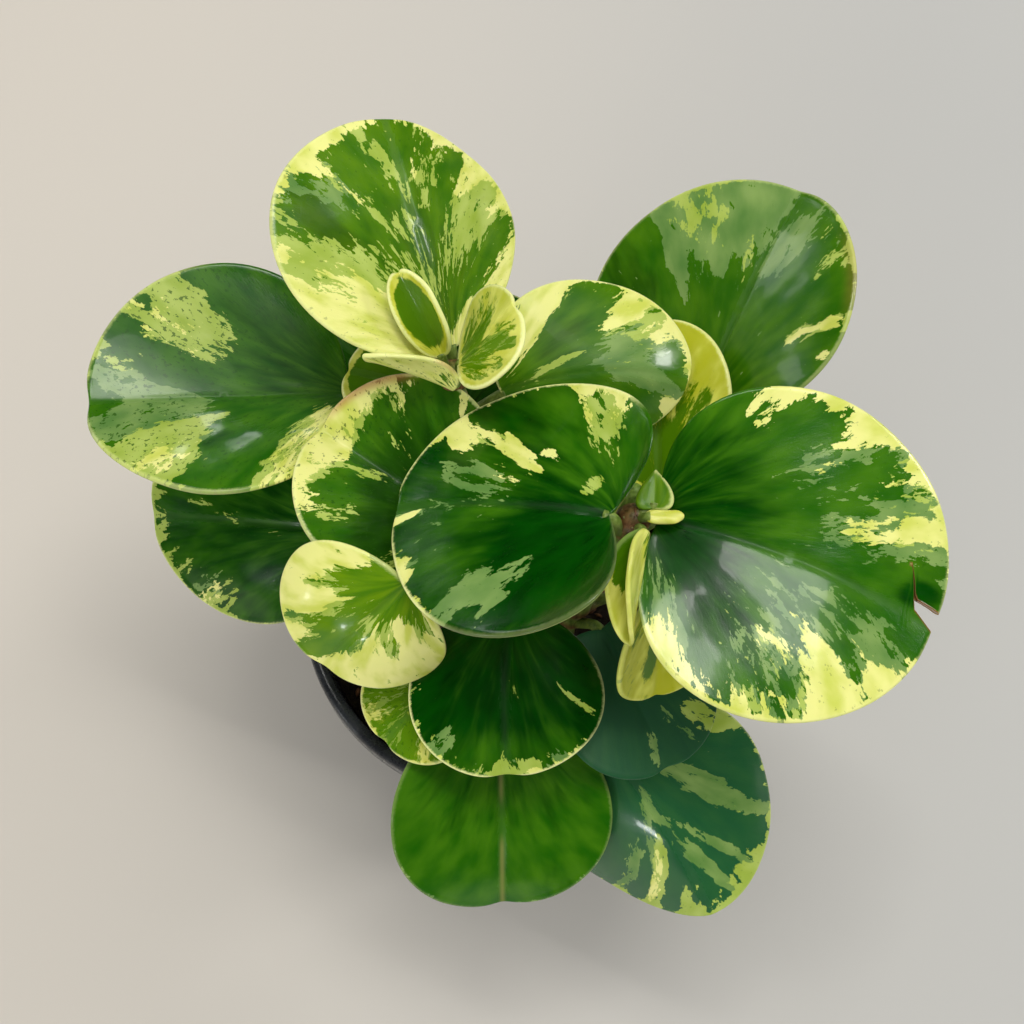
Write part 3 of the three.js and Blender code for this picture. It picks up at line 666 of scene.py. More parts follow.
def leaf_material():
    """Waxy marbled leaf. The patches come from the mesh, their ragged edges from noise."""
    shader = Shader("leaf_marbled")
    vein = shader.attribute("vein", "Vector")
    cream, lime, grey, dark = shader.tones("tone")
    grain = shader.noise(shader.stretch(vein, (1.6, 0.8, 1)), 1, 3, 0.6)

    def wave(across, along, shift, detail=5, spread=3.1):
        """Noise drawn out along the veins, spread about 0.5."""
        made = shader.noise(shader.stretch(vein, (across, along, shift)), 1, detail, 0.6, 0.35)
        return shader.math("MULTIPLY_ADD", made, spread, 0.5 - spread / 2)

    def layer(mask, ragged, soft=0.03, flecks=0.8):
        """Where a tone shows: its mask, broken up by noise, is past a level of 1."""
        fine = shader.math("MULTIPLY_ADD", grain, flecks, -flecks / 2)
        level = shader.math("ADD", shader.math("ADD", mask, ragged), fine)
        return shader.step(level, 1 - soft, 1 + soft)

    def near(mask):
        return shader.math("MULTIPLY_ADD", cream, CREAM_HELP, mask)

    streaks = shader.noise(shader.stretch(vein, (0.18, 0.1, 1.3)), 1, 3, 0.4)

    def tone(first, second, low=0.12, high=0.88):
        return shader.mix(shader.step(streaks, low, high), COLOURS[first], COLOURS[second])

    # The dark tone is dark marbling, and on b7 and on the base half of c5 it is painted shade.
    dark_tone_and_shade = layer(dark, wave(0.11, 0.06, 2.9, 2, 1.8), 0.6, 0.05)
    green_part = shader.mix(dark_tone_and_shade, tone("green", "bright"), tone("deep", "dark"))
    hue = shader.attribute("hue")
    # Below a hue of 0 the green turns towards a painted reflection of the sky on leaves in shade.
    green_part = shader.mix(shader.step(hue, 0, -1, 0, 0.75), green_part, COLOURS["sky_reflection_teal"])
    green_part = shader.mix(shader.step(hue, 0, 1, 0, 0.75), green_part, tone("bright", "olive"))
    grey_part = layer(near(grey), wave(0.36, 0.15, 1.7))
    lime_part = layer(near(lime), wave(0.4, 0.16, 4.1))
    cream_wave = wave(0.36, 0.14, 1)
    cream_part = layer(cream, cream_wave)
    colour = shader.mix(grey_part, green_part, tone("grey", "grey_pale"))
    colour = shader.mix(lime_part, colour, tone("lime", "lime_pale"))
    colour = shader.mix(cream_part, colour, tone("cream", "cream_pale", 0.3, 0.6))

    dots = shader.noise(shader.stretch(vein, (0.9, 0.6, 2.1)), 1, 3, 0.6)
    amount = shader.attribute("speck")
    dotted = shader.step(shader.math("MULTIPLY_ADD", amount, 0.12, dots), 0.69, 0.71)
    dotted = shader.math("MULTIPLY", dotted, amount, clamp=True)
    colour = shader.mix(dotted, colour, COLOURS["speck"])

    soft_part = layer(cream, cream_wave, 0.3)
    fresh = shader.mix(soft_part, COLOURS["young_green"], tone("young", "young_pale", 0.45, 0.75))
    colour = shader.mix(shader.attribute("young"), colour, fresh)

    edge = shader.attribute("edge")
    rim = shader.step(shader.math("MULTIPLY_ADD", grain, 1.1, edge), 1.75, 0.85)
    pale_rim = shader.math("MULTIPLY", rim, shader.attribute("rimmed"))
    colour = shader.mix(pale_rim, colour, COLOURS["rim"])
    colour = shader.mix(shader.attribute("midrib"), colour, COLOURS["midrib"])
    colour = shader.mix(shader.attribute("under"), colour, COLOURS["under"])
    colour = shader.mix(shader.attribute("blush"), colour, COLOURS["blush"])

    brushed = shader.noise(shader.stretch(vein, (1.6, 0.4, 1)), 1, 4, 0.65)
    pores = shader.noise(shader.stretch(vein, (4.5, 4.5, 1)), 1, 2, 0.5)
    wax = shader.step(brushed, 0.3, 0.7, 0.16, 0.25)
    dull = shader.attribute("dull")
    first = shader.bump(brushed, 0.12, 0.0004)
    normal = shader.bump(pores, 0.1, 0.0002, first)
    return shader.finish(
        Base_Color=colour,
        Roughness=shader.math("MULTIPLY_ADD", dull, DULL_ROUGHNESS, wax),
        Normal=normal,
        IOR=1.36,
        Coat_Weight=shader.math("MULTIPLY_ADD", dull, -COAT, COAT),
        Coat_Roughness=0.08,
        Subsurface_Weight=0.08,
        Subsurface_Radius=(0.6, 1.0, 0.25),
        Subsurface_Scale=0.0012,
    )


def stem_material():
    shader = Shader("stem_fleshy")
    place = shader.place()
    along = shader.noise(shader.stretch(place, (900, 900, 160)), 1, 4, 0.6)
    green = shader.mix(shader.step(along, 0.3, 0.7), rgb("4c6a1c"), rgb("7f9a44"))
    red = shader.mix(shader.step(along, 0.35, 0.65), rgb("4a1f18"), rgb("7d4a34"))
    colour = shader.mix(shader.attribute("joint"), green, red)
    flecks = shader.noise(place, 700, 2, 0.5)
    colour = shader.mix(shader.step(flecks, 0.66, 0.7, 0, 0.5), colour, rgb("a9b77a"))
    normal = shader.bump(along, 0.35, 0.0006)
    return shader.finish(
        Base_Color=colour,
        Roughness=shader.step(along, 0.3, 0.7, 0.36, 0.52),
        Normal=normal,
        IOR=1.43,
        Subsurface_Weight=0.1,
        Subsurface_Radius=(0.7, 1.0, 0.3),
        Subsurface_Scale=0.0015,
    )


def pot_material():
    shader = Shader("pot_plastic")
    place = shader.place()
    mottle = shader.noise(place, 90, 5, 0.6)
    colour = shader.mix(shader.step(mottle, 0.3, 0.75), rgb("26282b"), rgb("3a3d40"))
    dust = shader.noise(shader.stretch(place, (1, 1, 0.3)), 420, 4, 0.7)
    colour = shader.mix(shader.step(dust, 0.58, 0.8, 0, 0.35), colour, rgb("6d6a60"))
    scratches = shader.noise(shader.stretch(place, (60, 60, 2400)), 1, 3, 0.6)
    first = shader.bump(scratches, 0.12, 0.0003)
    normal = shader.bump(shader.noise(place, 1300, 2, 0.5), 0.15, 0.0002, first)
    return shader.finish(
        Base_Color=colour,
        Roughness=shader.step(dust, 0.35, 0.75, 0.22, 0.42),
        Normal=normal,
        IOR=1.5,
    )


def soil_material():
    shader = Shader("soil_peat")
    place = shader.place()
    crumbs = shader.noise(place, 260, 6, 0.7)
    fibres = shader.noise(place, 900, 5, 0.7, 1.5)
    colour = shader.mix(shader.step(crumbs, 0.3, 0.7), rgb("0f0c08"), rgb("2a1e14"))
    colour = shader.mix(shader.step(fibres, 0.55, 0.8, 0, 0.5), colour, rgb("4e3a28"))
    height = shader.math("ADD", crumbs, shader.math("MULTIPLY", fibres, 0.5))
    return shader.finish(
        Base_Color=colour,
        Roughness=0.95,
        Normal=shader.bump(height, 0.9, 0.0025),
        IOR=1.35,
    )


def grain_material():
    shader = Shader("soil_grains")
    place = shader.place()
    crumbs = shader.noise(place, 900, 4, 0.6)
    kind = shader.attribute("kind")
    bark = shader.mix(shader.step(crumbs, 0.3, 0.7), rgb("2a1a10"), rgb("6a4528"))
    perlite = shader.mix(shader.step(crumbs, 0.3, 0.7), rgb("b9b4a6"), rgb("ece9df"))
    return shader.finish(
        Base_Color=shader.mix(kind, bark, perlite),
        Roughness=0.9,
        Normal=shader.bump(crumbs, 0.6, 0.0008),
        IOR=1.4,
    )


# ---------------------------------------------------------------- leaves

SPOKES = 168
RINGS = 34
EDGE_STEPS = 4
CROWDING = 0.55  # how much closer the spokes lie near the midrib
RING_CROWDING = 0.85  # power that draws the rings towards the margin
FAN_ORIGIN = -1.1  # where the veins start, in disc coordinates
VEIN_BEND = 0.28  # radians that a vein bends outward over the blade's length
VEIN_SPACING = 0.8  # of the noise across the veins, against that along them
TONE_NONE = -0.4  # level of a tone that never shows
TONE_FULL = 1.0  # level of a tone that covers all
TONE_RANGE = (-0.4, 1.2)  # least and greatest sum of a tone's patches
FADE = 20  # degrees over which a stretch of the margin fades in or out
NOTCH_REACH = 0.16  # radians to each side of the tip
MARGIN_WAVE = 0.5  # mm
MARGIN_WAVES = range(3, 9)  # waves around the margin
SWELLS = 0.7  # mm
SWELL_SIZE = 19  # mm
RIPPLES = 0.07  # mm
RIPPLE_SIZE = 7  # mm
FLUTES = 0.015  # mm
FLUTE_TURN = 0.75  # radians for each mm across the veins
BEAD = 0.12  # height of the bead along the margin, in half thicknesses
BEAD_INSET = 1.1  # mm from the margin
BEAD_WIDTH = 0.6
TEAR_ANGLE = math.radians(2)  # of the tear at the margin
TEAR_START = 0.75  # radius of its inner end
TEAR_PATH = ((0, 0.5, 0.75, 0.79, 0.82, 1), (0, 10, 21, 9, 3, 0))  # radii, degrees further round
TEAR_OPEN = ((0.75, 0.8, 0.83, 1), (0, 0.2, 1.5, 4))  # radii, mm
TEAR_REACH = math.radians(27)
TEAR_BROWN = 0.6
MIDRIB_STEPS = 120
MIDRIB_DULL = 0.6
MIDRIB_DULL_WIDTH = 1.1  # mm
MIDRIB_BROWN = 0.75
MIDRIB_BROWN_WIDTH = 0.7
MIDRIB_START = (0.1, 0.2)  # radius where the brown starts, and the width over which it comes
BLUSH_START = (0.88, 0.1)  # the same of the brown at the margin
GROOVE_DEPTH = 0.4
GROOVE_WIDTH = 1.0
GROOVE_END = 4  # mm from the margin
RIDGE_WIDTH = 2.0
SOFT_FOLD = 1.4  # mm over which the fold at the midrib is rounded
FLATTEST = 1e-6
NARROWEST = 1.5


def blade_frames(leaf, s):
    """Along, across and up, for an array of shares of the blade's length."""
    pitch = np.radians(leaf["rise"] - leaf["droop"] * s)
    heading = np.radians(leaf["heading"] + leaf["bend"] * s)
    roll = np.radians(leaf["roll"] + leaf["twist"] * (s - 0.5))[:, None]
    along = np.stack(
        [np.cos(heading) * np.cos(pitch), np.sin(heading) * np.cos(pitch), np.sin(pitch)], -1
    )
    level = np.stack([-np.sin(heading), np.cos(heading), 0 * heading], -1)
    normal = np.cross(along, level)
    across = level * np.cos(roll) + normal * np.sin(roll)
    return along, across, np.cross(along, across)


def midrib_points(leaf, s):
    ends = np.linspace(0, 1, MIDRIB_STEPS + 1)
    along = blade_frames(leaf, (ends[1:] + ends[:-1]) / 2)[0]
    line = np.vstack([[0, 0, 0], np.cumsum(along, 0) * leaf["length"] / MIDRIB_STEPS])
    line += np.array(leaf["base"], float)
    return np.stack([np.interp(s, ends, line[:, k]) for k in range(3)], -1)


def blade_surface(leaf, x, y):
    """Points and normals of the blade's middle layer at disc coordinates."""
    s = np.clip((1 + x) / 2, 0, 1) ** (1 / leaf["swell"])
    along, across, up = blade_frames(leaf, s)
    half_width = leaf["width"] / 2 * np.sqrt(np.clip(1 - x * x, 0, 1))
    side = np.sign(y)
    reach = leaf["width"] / 2 * np.abs(y) * (1 + side * leaf["uneven"])
    reach *= 1 - leaf["taper"] * s**2
    fold = math.radians(leaf["fold"])
    funnel = math.radians(leaf["funnel"]) * (1 - s) ** 2
    gain = math.radians(leaf["cup"]) / (leaf["width"] / 2) + funnel / np.maximum(
        half_width, NARROWEST
    )
    gain = np.where(np.abs(gain) > FLATTEST, gain, FLATTEST)
    slope = fold + gain * reach
    sideways = (np.sin(slope) - math.sin(fold)) / gain
    lift = (math.cos(fold) - np.cos(slope)) / gain
    lift -= math.sin(fold) * (reach - (np.hypot(reach, SOFT_FOLD) - SOFT_FOLD))
    back = leaf["lobe"] * (1 - s) ** 2 * np.abs(y)
    points = midrib_points(leaf, s) - along * back[:, None]
    points += across * (side * sideways)[:, None] + up * lift[:, None]
    soft = reach / np.hypot(reach, SOFT_FOLD)
    tilt = (slope * soft)[:, None]
    normals = up * np.cos(tilt) - across * side[:, None] * np.sin(tilt)
    return points, normals, s


def vein_place(leaf, x, y):
    """Across the veins and along them, in mm, and a third place that tells the leaves apart.

    The veins leave the base as a fan and bend outward on their way. The first coordinate is the
    same on both sides of the midrib, so that flecks may cross it, and the third one isn't.
    """
    forward = (x - FAN_ORIGIN) * leaf["length"] / 2
    sideward = y * leaf["width"] / 2
    reach = np.hypot(forward, sideward)
    turn = np.arctan2(sideward, forward)
    across = np.abs(turn) - VEIN_BEND * reach / leaf["length"]
    seed = 7.3 * (sum(ord(c) * (k + 1) for k, c in enumerate(leaf["name"])) % 97)
    return np.stack([across * leaf["length"] * VEIN_SPACING, reach, seed + 3 * turn], -1)


def vein_direction(leaf, x, y):
    """Angle of the veins in the disc."""
    forward = (x - FAN_ORIGIN) * leaf["length"] / 2
    sideward = y * leaf["width"] / 2
    reach = math.hypot(forward, sideward)
    bend = math.atan(VEIN_BEND * reach / leaf["length"]) * math.copysign(1, y)
    return math.atan2(sideward, forward) + (bend if y else 0)


def window(angle, low, high):
    """1 between two angles along the margin, fading at both ends."""
    if high - low >= 360:
        return np.ones_like(angle)
    return smooth((angle - low) / FADE + 0.5) * smooth((high - angle) / FADE + 0.5)


def patch_share(leaf, x, y, px, py, long, wide):
    """1 in a patch that lies along the veins, fading to 0 around it."""
    turn = vein_direction(leaf, px, py)
    along = (x - px) * math.cos(turn) + (y - py) * math.sin(turn)
    aside = (y - py) * math.cos(turn) - (x - px) * math.sin(turn)
    return smooth(1.5 - np.hypot(along / long, aside / wide))


def dullness(leaf, x, y, reach):
    """How matt the wax is: all over the leaf, in its matt patches and along the midrib."""
    pattern = PATTERNS[leaf["name"]]
    dull = np.full(len(x), float(pattern.get("dull", 0)))
    for *place, strength in pattern.get("matt", []):
        dull = np.maximum(dull, strength * patch_share(leaf, x, y, *place))
    return np.maximum(dull, MIDRIB_DULL * bell(reach, MIDRIB_DULL_WIDTH))


def paint(leaf, x, y):
    """The four tones at disc coordinates."""
    pattern = PATTERNS[leaf["name"]]
    tone = np.tile(np.array(pattern["ground"], float), (len(x), 1))
    for index, name in enumerate(TONES):
        for *place, strength in pattern.get(name, []):
            tone[:, index] += strength * patch_share(leaf, x, y, *place)
    angle = np.degrees(np.arctan2(y, x))
    radius = np.hypot(x, y)
    for name, low, high, width, strength in pattern.get("rims", []):
        near = smooth((radius - 1 + 1.5 * width) / width)
        tone[:, TONES.index(name)] += strength * window(angle, low, high) * near
    return TONE_NONE + (TONE_FULL - TONE_NONE) * np.clip(tone, *TONE_RANGE)


def spoke_angles(leaf, spoke, radius):
    """The spokes' angles on one ring. Beside a tear they follow it and part towards the margin."""
    if not leaf["tear"]:
        return spoke
    away = np.angle(np.exp(1j * (spoke - TEAR_ANGLE)))
    bend = math.radians(np.interp(radius, *TEAR_PATH)) * bell(away, TEAR_REACH)
    opening = np.interp(radius, *TEAR_OPEN) / (radius * leaf["length"])
    return spoke + bend + opening * np.exp(-np.abs(away) / TEAR_REACH) * np.sign(away)


def blade_rings(half):
    """Shares of the flat part and steps over the rounded margin, from the middle outward."""
    rings = [("flat", share) for share in np.linspace(0, 1, RINGS + 1)[1:] ** RING_CROWDING]
    rings += [("edge", k) for k in range(EDGE_STEPS - 1, -1, -1)]
    inset = [half * (1 - math.cos(math.pi / 2 * k / EDGE_STEPS)) for k in range(EDGE_STEPS + 1)]
    return rings, inset


def blade_faces(count, ring_count, torn, first_torn_ring):
    """Faces over the top, the underside and the walls of a tear after spoke torn, if any."""
    margin_start = count - SPOKES
    under = np.concatenate([np.arange(margin_start) + count, np.arange(margin_start, count)])
    top = np.arange(count)
    faces = []
    for index, flip in ((top, False), (under, True)):
        for j in range(SPOKES):
            n = (j + 1) % SPOKES
            fan = (index[0], index[1 + j], index[1 + n])
            faces.append(fan[::-1] if flip else fan)
            for r in range(ring_count - 1):
                if j == torn and r >= first_torn_ring:
                    continue
                a = 1 + r * SPOKES
                quad = (index[a + j], index[a + SPOKES + j], index[a + SPOKES + n], index[a + n])
                faces.append(quad[::-1] if flip else quad)
    if torn is not None:
        start = 1 + first_torn_ring * SPOKES
        left, right = start + torn, start + torn + 1
        faces.append((top[left], top[right], under[right], under[left]))
        for r in range(first_torn_ring, ring_count - 1):
            for j, flip in ((torn, False), (torn + 1, True)):
                a = 1 + r * SPOKES + j
                wall = [top[a], under[a], under[a + SPOKES], top[a + SPOKES]]
                if r == ring_count - 2:
                    wall = wall[:3]
                faces.append(tuple(wall[::-1] if flip else wall))
    return [tuple(int(i) for i in face) for face in faces]


def blade_disc(leaf, spoke, half):
    """Places on the disc ring by ring, the height over the middle layer and the distance from the
    margin there, in mm, and each ring's mean radius."""
    local = np.hypot(leaf["length"] / 2 * np.cos(spoke), leaf["width"] / 2 * np.sin(spoke))
    notch = leaf["notch"] * leaf["scale"] * bell(np.angle(np.exp(1j * spoke)), NOTCH_REACH)
    xs, ys, heights, edges, ring_radii = [[0]], [[0]], [[half]], [[local.mean()]], []
    rings, inset = blade_rings(half)
    for kind, value in rings:
        if kind == "flat":
            radius = (1 - half / local) * value
            height = half
        else:
            radius = 1 - inset[value] / local
            height = half * math.sin(math.pi / 2 * value / EDGE_STEPS)
        angles = spoke_angles(leaf, spoke, radius.mean())
        radius = radius * (1 - notch / local * radius**6)
        xs.append(radius * np.cos(angles))
        ys.append(radius * np.sin(angles))
        heights.append(np.full(SPOKES, height))
        edges.append((1 - radius) * local)
        ring_radii.append(radius.mean())
    x, y, height, edge = [np.concatenate(part) for part in (xs, ys, heights, edges)]
    return x, y, height, edge, ring_radii


def blade_relief(leaf, points, spoke, x, y):
    """Lift of the blade in mm: waves at the margin, swells, ripples, and flutes along the veins."""
    draw = np.random.default_rng(sum(ord(c) for c in leaf["name"]))
    waves = sum(
        draw.uniform(0.2, 1) / n * np.cos(n * spoke + draw.uniform(0, 6.3)) for n in MARGIN_WAVES
    )
    waves = np.concatenate([[0], np.tile(waves, len(points) // SPOKES)])
    swells = np.array([noise.noise(Vector(p) / SWELL_SIZE) for p in points])
    ripples = np.array([noise.noise(Vector(p) / RIPPLE_SIZE + Vector((9, 3, 1))) for p in points])
    radius = np.hypot(x, y)
    flutes = np.sin(vein_place(leaf, x, y)[:, 0] * FLUTE_TURN) * np.sin(math.pi * np.clip(radius, 0, 1))
    lift = MARGIN_WAVE * waves * radius**3 + SWELLS * swells + RIPPLES * ripples + FLUTES * flutes
    return leaf["scale"] * lift


def blade_colouring(leaf, x, y, reach, edge):
    """What the leaf material reads at each point of the top side."""
    pattern = PATTERNS[leaf["name"]]
    angle = np.degrees(np.arctan2(y, x))
    radius = np.hypot(x, y)
    midrib = MIDRIB_BROWN * pattern.get("midrib", 0) * bell(reach, MIDRIB_BROWN_WIDTH)
    edges = pattern.get("edges", [(*ALL_ROUND, 0.4)])
    rimmed = sum(strength * window(angle, low, high) for low, high, strength in edges)
    low, high, strength = pattern.get("blush", (0, 0, 0))
    plain = np.ones(len(x))
    return {
        "vein": vein_place(leaf, x, y),
        "tone": paint(leaf, x, y),
        "edge": edge,
        "speck": plain * pattern.get("speck", 0.2),
        "young": plain * pattern.get("young", 0),
        "dull": dullness(leaf, x, y, reach),
        "hue": plain * pattern.get("hue", 0),
        "rimmed": np.clip(rimmed, 0, 1),
        "midrib": midrib * beyond(radius, *MIDRIB_START),
        "blush": strength * window(angle, low, high) * beyond(radius, *BLUSH_START),
    }


def blade_mesh(leaf):
    """Points, faces and attributes of a closed blade with a round margin, on a disc of spokes."""
    half = BLADE_THICKNESS / 2 * leaf["scale"]
    turn = np.linspace(0, 2 * math.pi, SPOKES, endpoint=False)
    spoke = turn - CROWDING / 2 * np.sin(2 * turn)
    x, y, height, edge, ring_radii = blade_disc(leaf, spoke, half)
    points, normals, s = blade_surface(leaf, x, y)
    points = points + normals * blade_relief(leaf, points, spoke, x, y)[:, None]

    reach = np.abs(y) * leaf["width"] / 2
    bead = BEAD * half * bell(edge - BEAD_INSET, BEAD_WIDTH)
    groove = GROOVE_DEPTH * leaf["scale"] * np.sqrt(np.clip(1 - s, 0, 1))
    groove = groove * bell(reach, GROOVE_WIDTH) * smooth(edge / GROOVE_END)
    ridge = BLADE_RIDGE * leaf["scale"] * (1 - s) * bell(reach, RIDGE_WIDTH)
    top = points + normals * (height + bead * height / half - groove)[:, None]
    bottom = points - normals * (height + (bead + ridge) * height / half)[:, None]

    colouring = blade_colouring(leaf, x, y, reach, edge)
    torn, first_torn_ring = None, 0
    if leaf["tear"]:
        torn = int(np.searchsorted(spoke, TEAR_ANGLE)) - 1
        first_torn_ring = int(np.searchsorted(ring_radii, TEAR_START))
        inner = 1 + first_torn_ring * SPOKES + torn
        for start in (inner, inner + 1):
            colouring["blush"][start::SPOKES] = TEAR_BROWN
    faces = blade_faces(len(x), len(ring_radii), torn, first_torn_ring)

    below = len(x) - SPOKES  # the underside's own points, since both sides share the margin
    attributes = {key: np.concatenate([part, part[:below]]) for key, part in colouring.items()}
    attributes["under"] = np.repeat([0, leaf["pale_under"]], [len(x), below])
    attributes["joint"] = np.zeros(len(x) + below)
    return np.vstack([top, bottom[:below]]), faces, attributes


def bezier(points, t):
    a, b, c, d = [np.array(p, float) for p in points]
    t = np.asarray(t)[:, None]
    return a * (1 - t) ** 3 + 3 * b * t * (1 - t) ** 2 + 3 * c * t * t * (1 - t) + d * t**3


def stem_axis(stem, height):
    share = (height - SOIL_TOP) / (stem["tip"][2] - SOIL_TOP)
    ease = float(smooth(share))
    return np.array(
        [
            stem["foot"][0] + (stem["tip"][0] - stem["foot"][0]) * ease,
            stem["foot"][1] + (stem["tip"][1] - stem["foot"][1]) * ease,
            height,
        ]
    )


def stem_radius(stem, joints, height):
    share = min(1, max(0, (height - SOIL_TOP) / (stem["tip"][2] - SOIL_TOP)))
    radius = STEM_RADIUS + (STEM_TIP_RADIUS - STEM_RADIUS) * share
    for joint in joints:
        radius += NODE_SWELL * bell(height - joint, NODE_REACH)
    return radius


def joints_of(letter, *tables):
    return [table[name][0] for table in tables for name in table if name[0] == letter]


TUBE_CAP = 0.3  # how far the points that close a tube stand out, in radii


def tube(centres, radii, sides, first_side=(1, 0, 0)):
    """Points and faces of a closed tube through centres, its ends closed by points."""
    centres = np.asarray(centres, float)
    forward = np.gradient(centres, axis=0)
    forward /= np.linalg.norm(forward, axis=1)[:, None]
    side = np.array(first_side, float)
    points = []
    for centre, ahead, radius in zip(centres, forward, radii):
        side = side - ahead * side.dot(ahead)
        side /= np.linalg.norm(side)
        over = np.cross(ahead, side)
        for k in range(sides):
            turn = 2 * math.pi * k / sides
            points.append(centre + radius * (side * math.cos(turn) + over * math.sin(turn)))
    faces = ring_faces(sides, len(centres))
    start, end = len(points), len(points) + 1
    last = (len(centres) - 1) * sides
    points.append(centres[0] - forward[0] * radii[0] * TUBE_CAP)
    points.append(centres[-1] + forward[-1] * radii[-1] * TUBE_CAP)
    for k in range(sides):
        n = (k + 1) % sides
        faces.append((start, n, k))
        faces.append((end, last + k, last + n))
    return points, faces


STALK_RINGS = 26
STALK_SIDES = 18
STALK_SET = 1.5  # mm that the stalk reaches in under the blade
STALK_SINK = 0.55  # of the blade's thickness, below its middle layer
STALK_FOOT = 0.5  # thickening at the stem
STALK_FOOT_REACH = 0.1  # of the stalk's length
STALK_WAIST = 0.12  # thinning at half its length
STALK_RED = 0.12  # all along
STALK_RED_FOOT = 0.85  # more of it at the stem
STALK_RED_REACH = 0.16


def stalk_mesh(leaf, stem, joints):
    """Points, faces and redness of the curved stalk from the stem to the blade's base."""
    axis = stem_axis(stem, leaf["joint"])
    along = blade_frames(leaf, np.array([0.0]))[0][0]
    base = np.array(leaf["base"], float) + along * STALK_SET
    base[2] -= BLADE_THICKNESS * STALK_SINK * leaf["scale"]
    outward = (base - axis) * (1, 1, 0)
    outward /= np.linalg.norm(outward)
    climb = math.radians(STALK_CLIMB)
    start = axis + outward * stem_radius(stem, joints, leaf["joint"]) * 0.5
    leaving = outward * math.cos(climb) + np.array([0, 0, math.sin(climb)])
    pull = np.linalg.norm(base - start) / 3
    route = (start, start + leaving * pull, base - along * pull, base)
    share = np.linspace(0, 1, STALK_RINGS)
    centres = bezier(route, share)
    thickening = STALK_FOOT * bell(share, STALK_FOOT_REACH) - STALK_WAIST * np.sin(math.pi * share)
    radii = STALK_RADIUS * leaf["scale"] * (1 + thickening)
    points, faces = tube(centres, radii, STALK_SIDES, np.cross(along, (0.1, 0.2, 1)))
    ring_share = np.concatenate([np.repeat(share, STALK_SIDES), [0, 1]])
    return points, faces, STALK_RED + STALK_RED_FOOT * bell(ring_share, STALK_RED_REACH)


def make_leaf(name, materials):
    leaf = leaf_of(name)
    stem = STEMS[name[0]]
    points, faces, attributes = blade_mesh(leaf)
    stalk_points, stalk_faces, reddish = stalk_mesh(leaf, stem, joints_of(name[0], LEAVES))
    start = len(points)
    points = np.vstack([points, stalk_points])
    index = [0] * len(faces) + [1] * len(stalk_faces)
    faces = faces + [tuple(start + i for i in face) for face in stalk_faces]
    for key, values in attributes.items():
        pad = reddish if key == "joint" else np.zeros((len(stalk_points), *values.shape[1:]))
        attributes[key] = np.concatenate([values, pad])
    young = name in YOUNG_LEAVES
    made = mesh_object(f"young_{name}" if young else f"blade_{name}", points, faces, attributes)
    made.data.materials.append(materials["leaf"])
    made.data.materials.append(materials["stem"])
    made.data.polygons.foreach_set("material_index", index)
    if young:
        dress(made, "stem", f"stem_{name[0]}")
    else:
        dress(made, "leaf", f"leaf_{name}")


# ---------------------------------------------------------------- stems

STEM_SIDES = 24
STEM_STEP = 1.0
STEM_TAPER = 3  # mm below its tip
STEM_TIP = 0.05  # of its section, left at the tip
STEM_LUMP = 0.25
STEM_LUMP_SIZE = 5
JOINT_RED = 0.9
JOINT_RED_REACH = 2.6


def make_stem(letter, materials):
    stem = STEMS[letter]
    joints = joints_of(letter, LEAVES, YOUNG_LEAVES)
    tip = stem["tip"][2]
    heights = np.arange(SOIL_TOP - STEM_BURIED, tip, STEM_STEP)
    centres = [stem_axis(stem, h) for h in heights]
    radii = [
        stem_radius(stem, joints, h) * math.sqrt(min(1, max(STEM_TIP, (tip - h) / STEM_TAPER)))
        for h in heights
    ]
    points, faces = tube(centres, radii, STEM_SIDES)
    rough, near = [], []
    for k, point in enumerate(points):
        outward = (point - centres[min(k // STEM_SIDES, len(centres) - 1)]) * (1, 1, 0)
        lump = noise.noise(Vector(point) / STEM_LUMP_SIZE) * STEM_LUMP
        rough.append(point + outward / max(np.linalg.norm(outward), 0.1) * lump)
        gap = min(abs(point[2] - joint) for joint in joints)
        near.append(JOINT_RED * bell(gap, JOINT_RED_REACH))
    made = mesh_object(f"stalk_{letter}", rough, faces, {"joint": near})
    made.data.materials.append(materials["stem"])
    dress(made, "stem", f"stem_{letter}")


# ---------------------------------------------------------------- pot and soil

POT_HEIGHT = 106
POT_RIM_RADIUS = 60
POT_RIM_BAND = 9
POT_RIM_STEP = 2.6
POT_BASE_RADIUS = 43
POT_BASE_ROUND = 2
POT_FOOT = 5  # width of the foot ring
POT_RECESS = 0.6  # of the underside within it
POT_WALL = 1.5
POT_FLOOR = 2
POT_SIDES = 160
RIM_HOLLOW = 0.8  # rounding where the rim leaves the wall
RIM_EDGE = 0.9  # rounding of the rim's lower edge
RIM_LEAN = 0.05
INNER_ROUND = 2
MIDDLE = 0.01  # radius of the closed middle
UNDERSIDE_RING = 20
CUTTER_REACH = 4  # of a drain hole's cutter, past the floor
DRAIN_HOLES = 6
DRAIN_RADIUS = 4
DRAIN_CIRCLE = 27
WALL_TOP = POT_HEIGHT - POT_RIM_BAND


def pot_outer(height):
    return POT_BASE_RADIUS + (POT_RIM_RADIUS - POT_RIM_STEP - POT_BASE_RADIUS) * height / WALL_TOP


def arc(x, y, radius, start, end, steps):
    turns = np.radians(np.linspace(start, end, steps + 1))
    return [(x + radius * math.cos(t), y + radius * math.sin(t)) for t in turns]


def lathe(profile, sides):
    """Points and faces of a closed profile of (radius, height) turned about the pot's axis."""
    points = [point for radius, height in profile for point in circle(radius, sides, height)]
    faces = ring_faces(sides, len(profile))
    last = sides * (len(profile) - 1)
    for k in range(sides):
        n = (k + 1) % sides
        faces.append((last + k, last + n, n, k))
    return points, faces


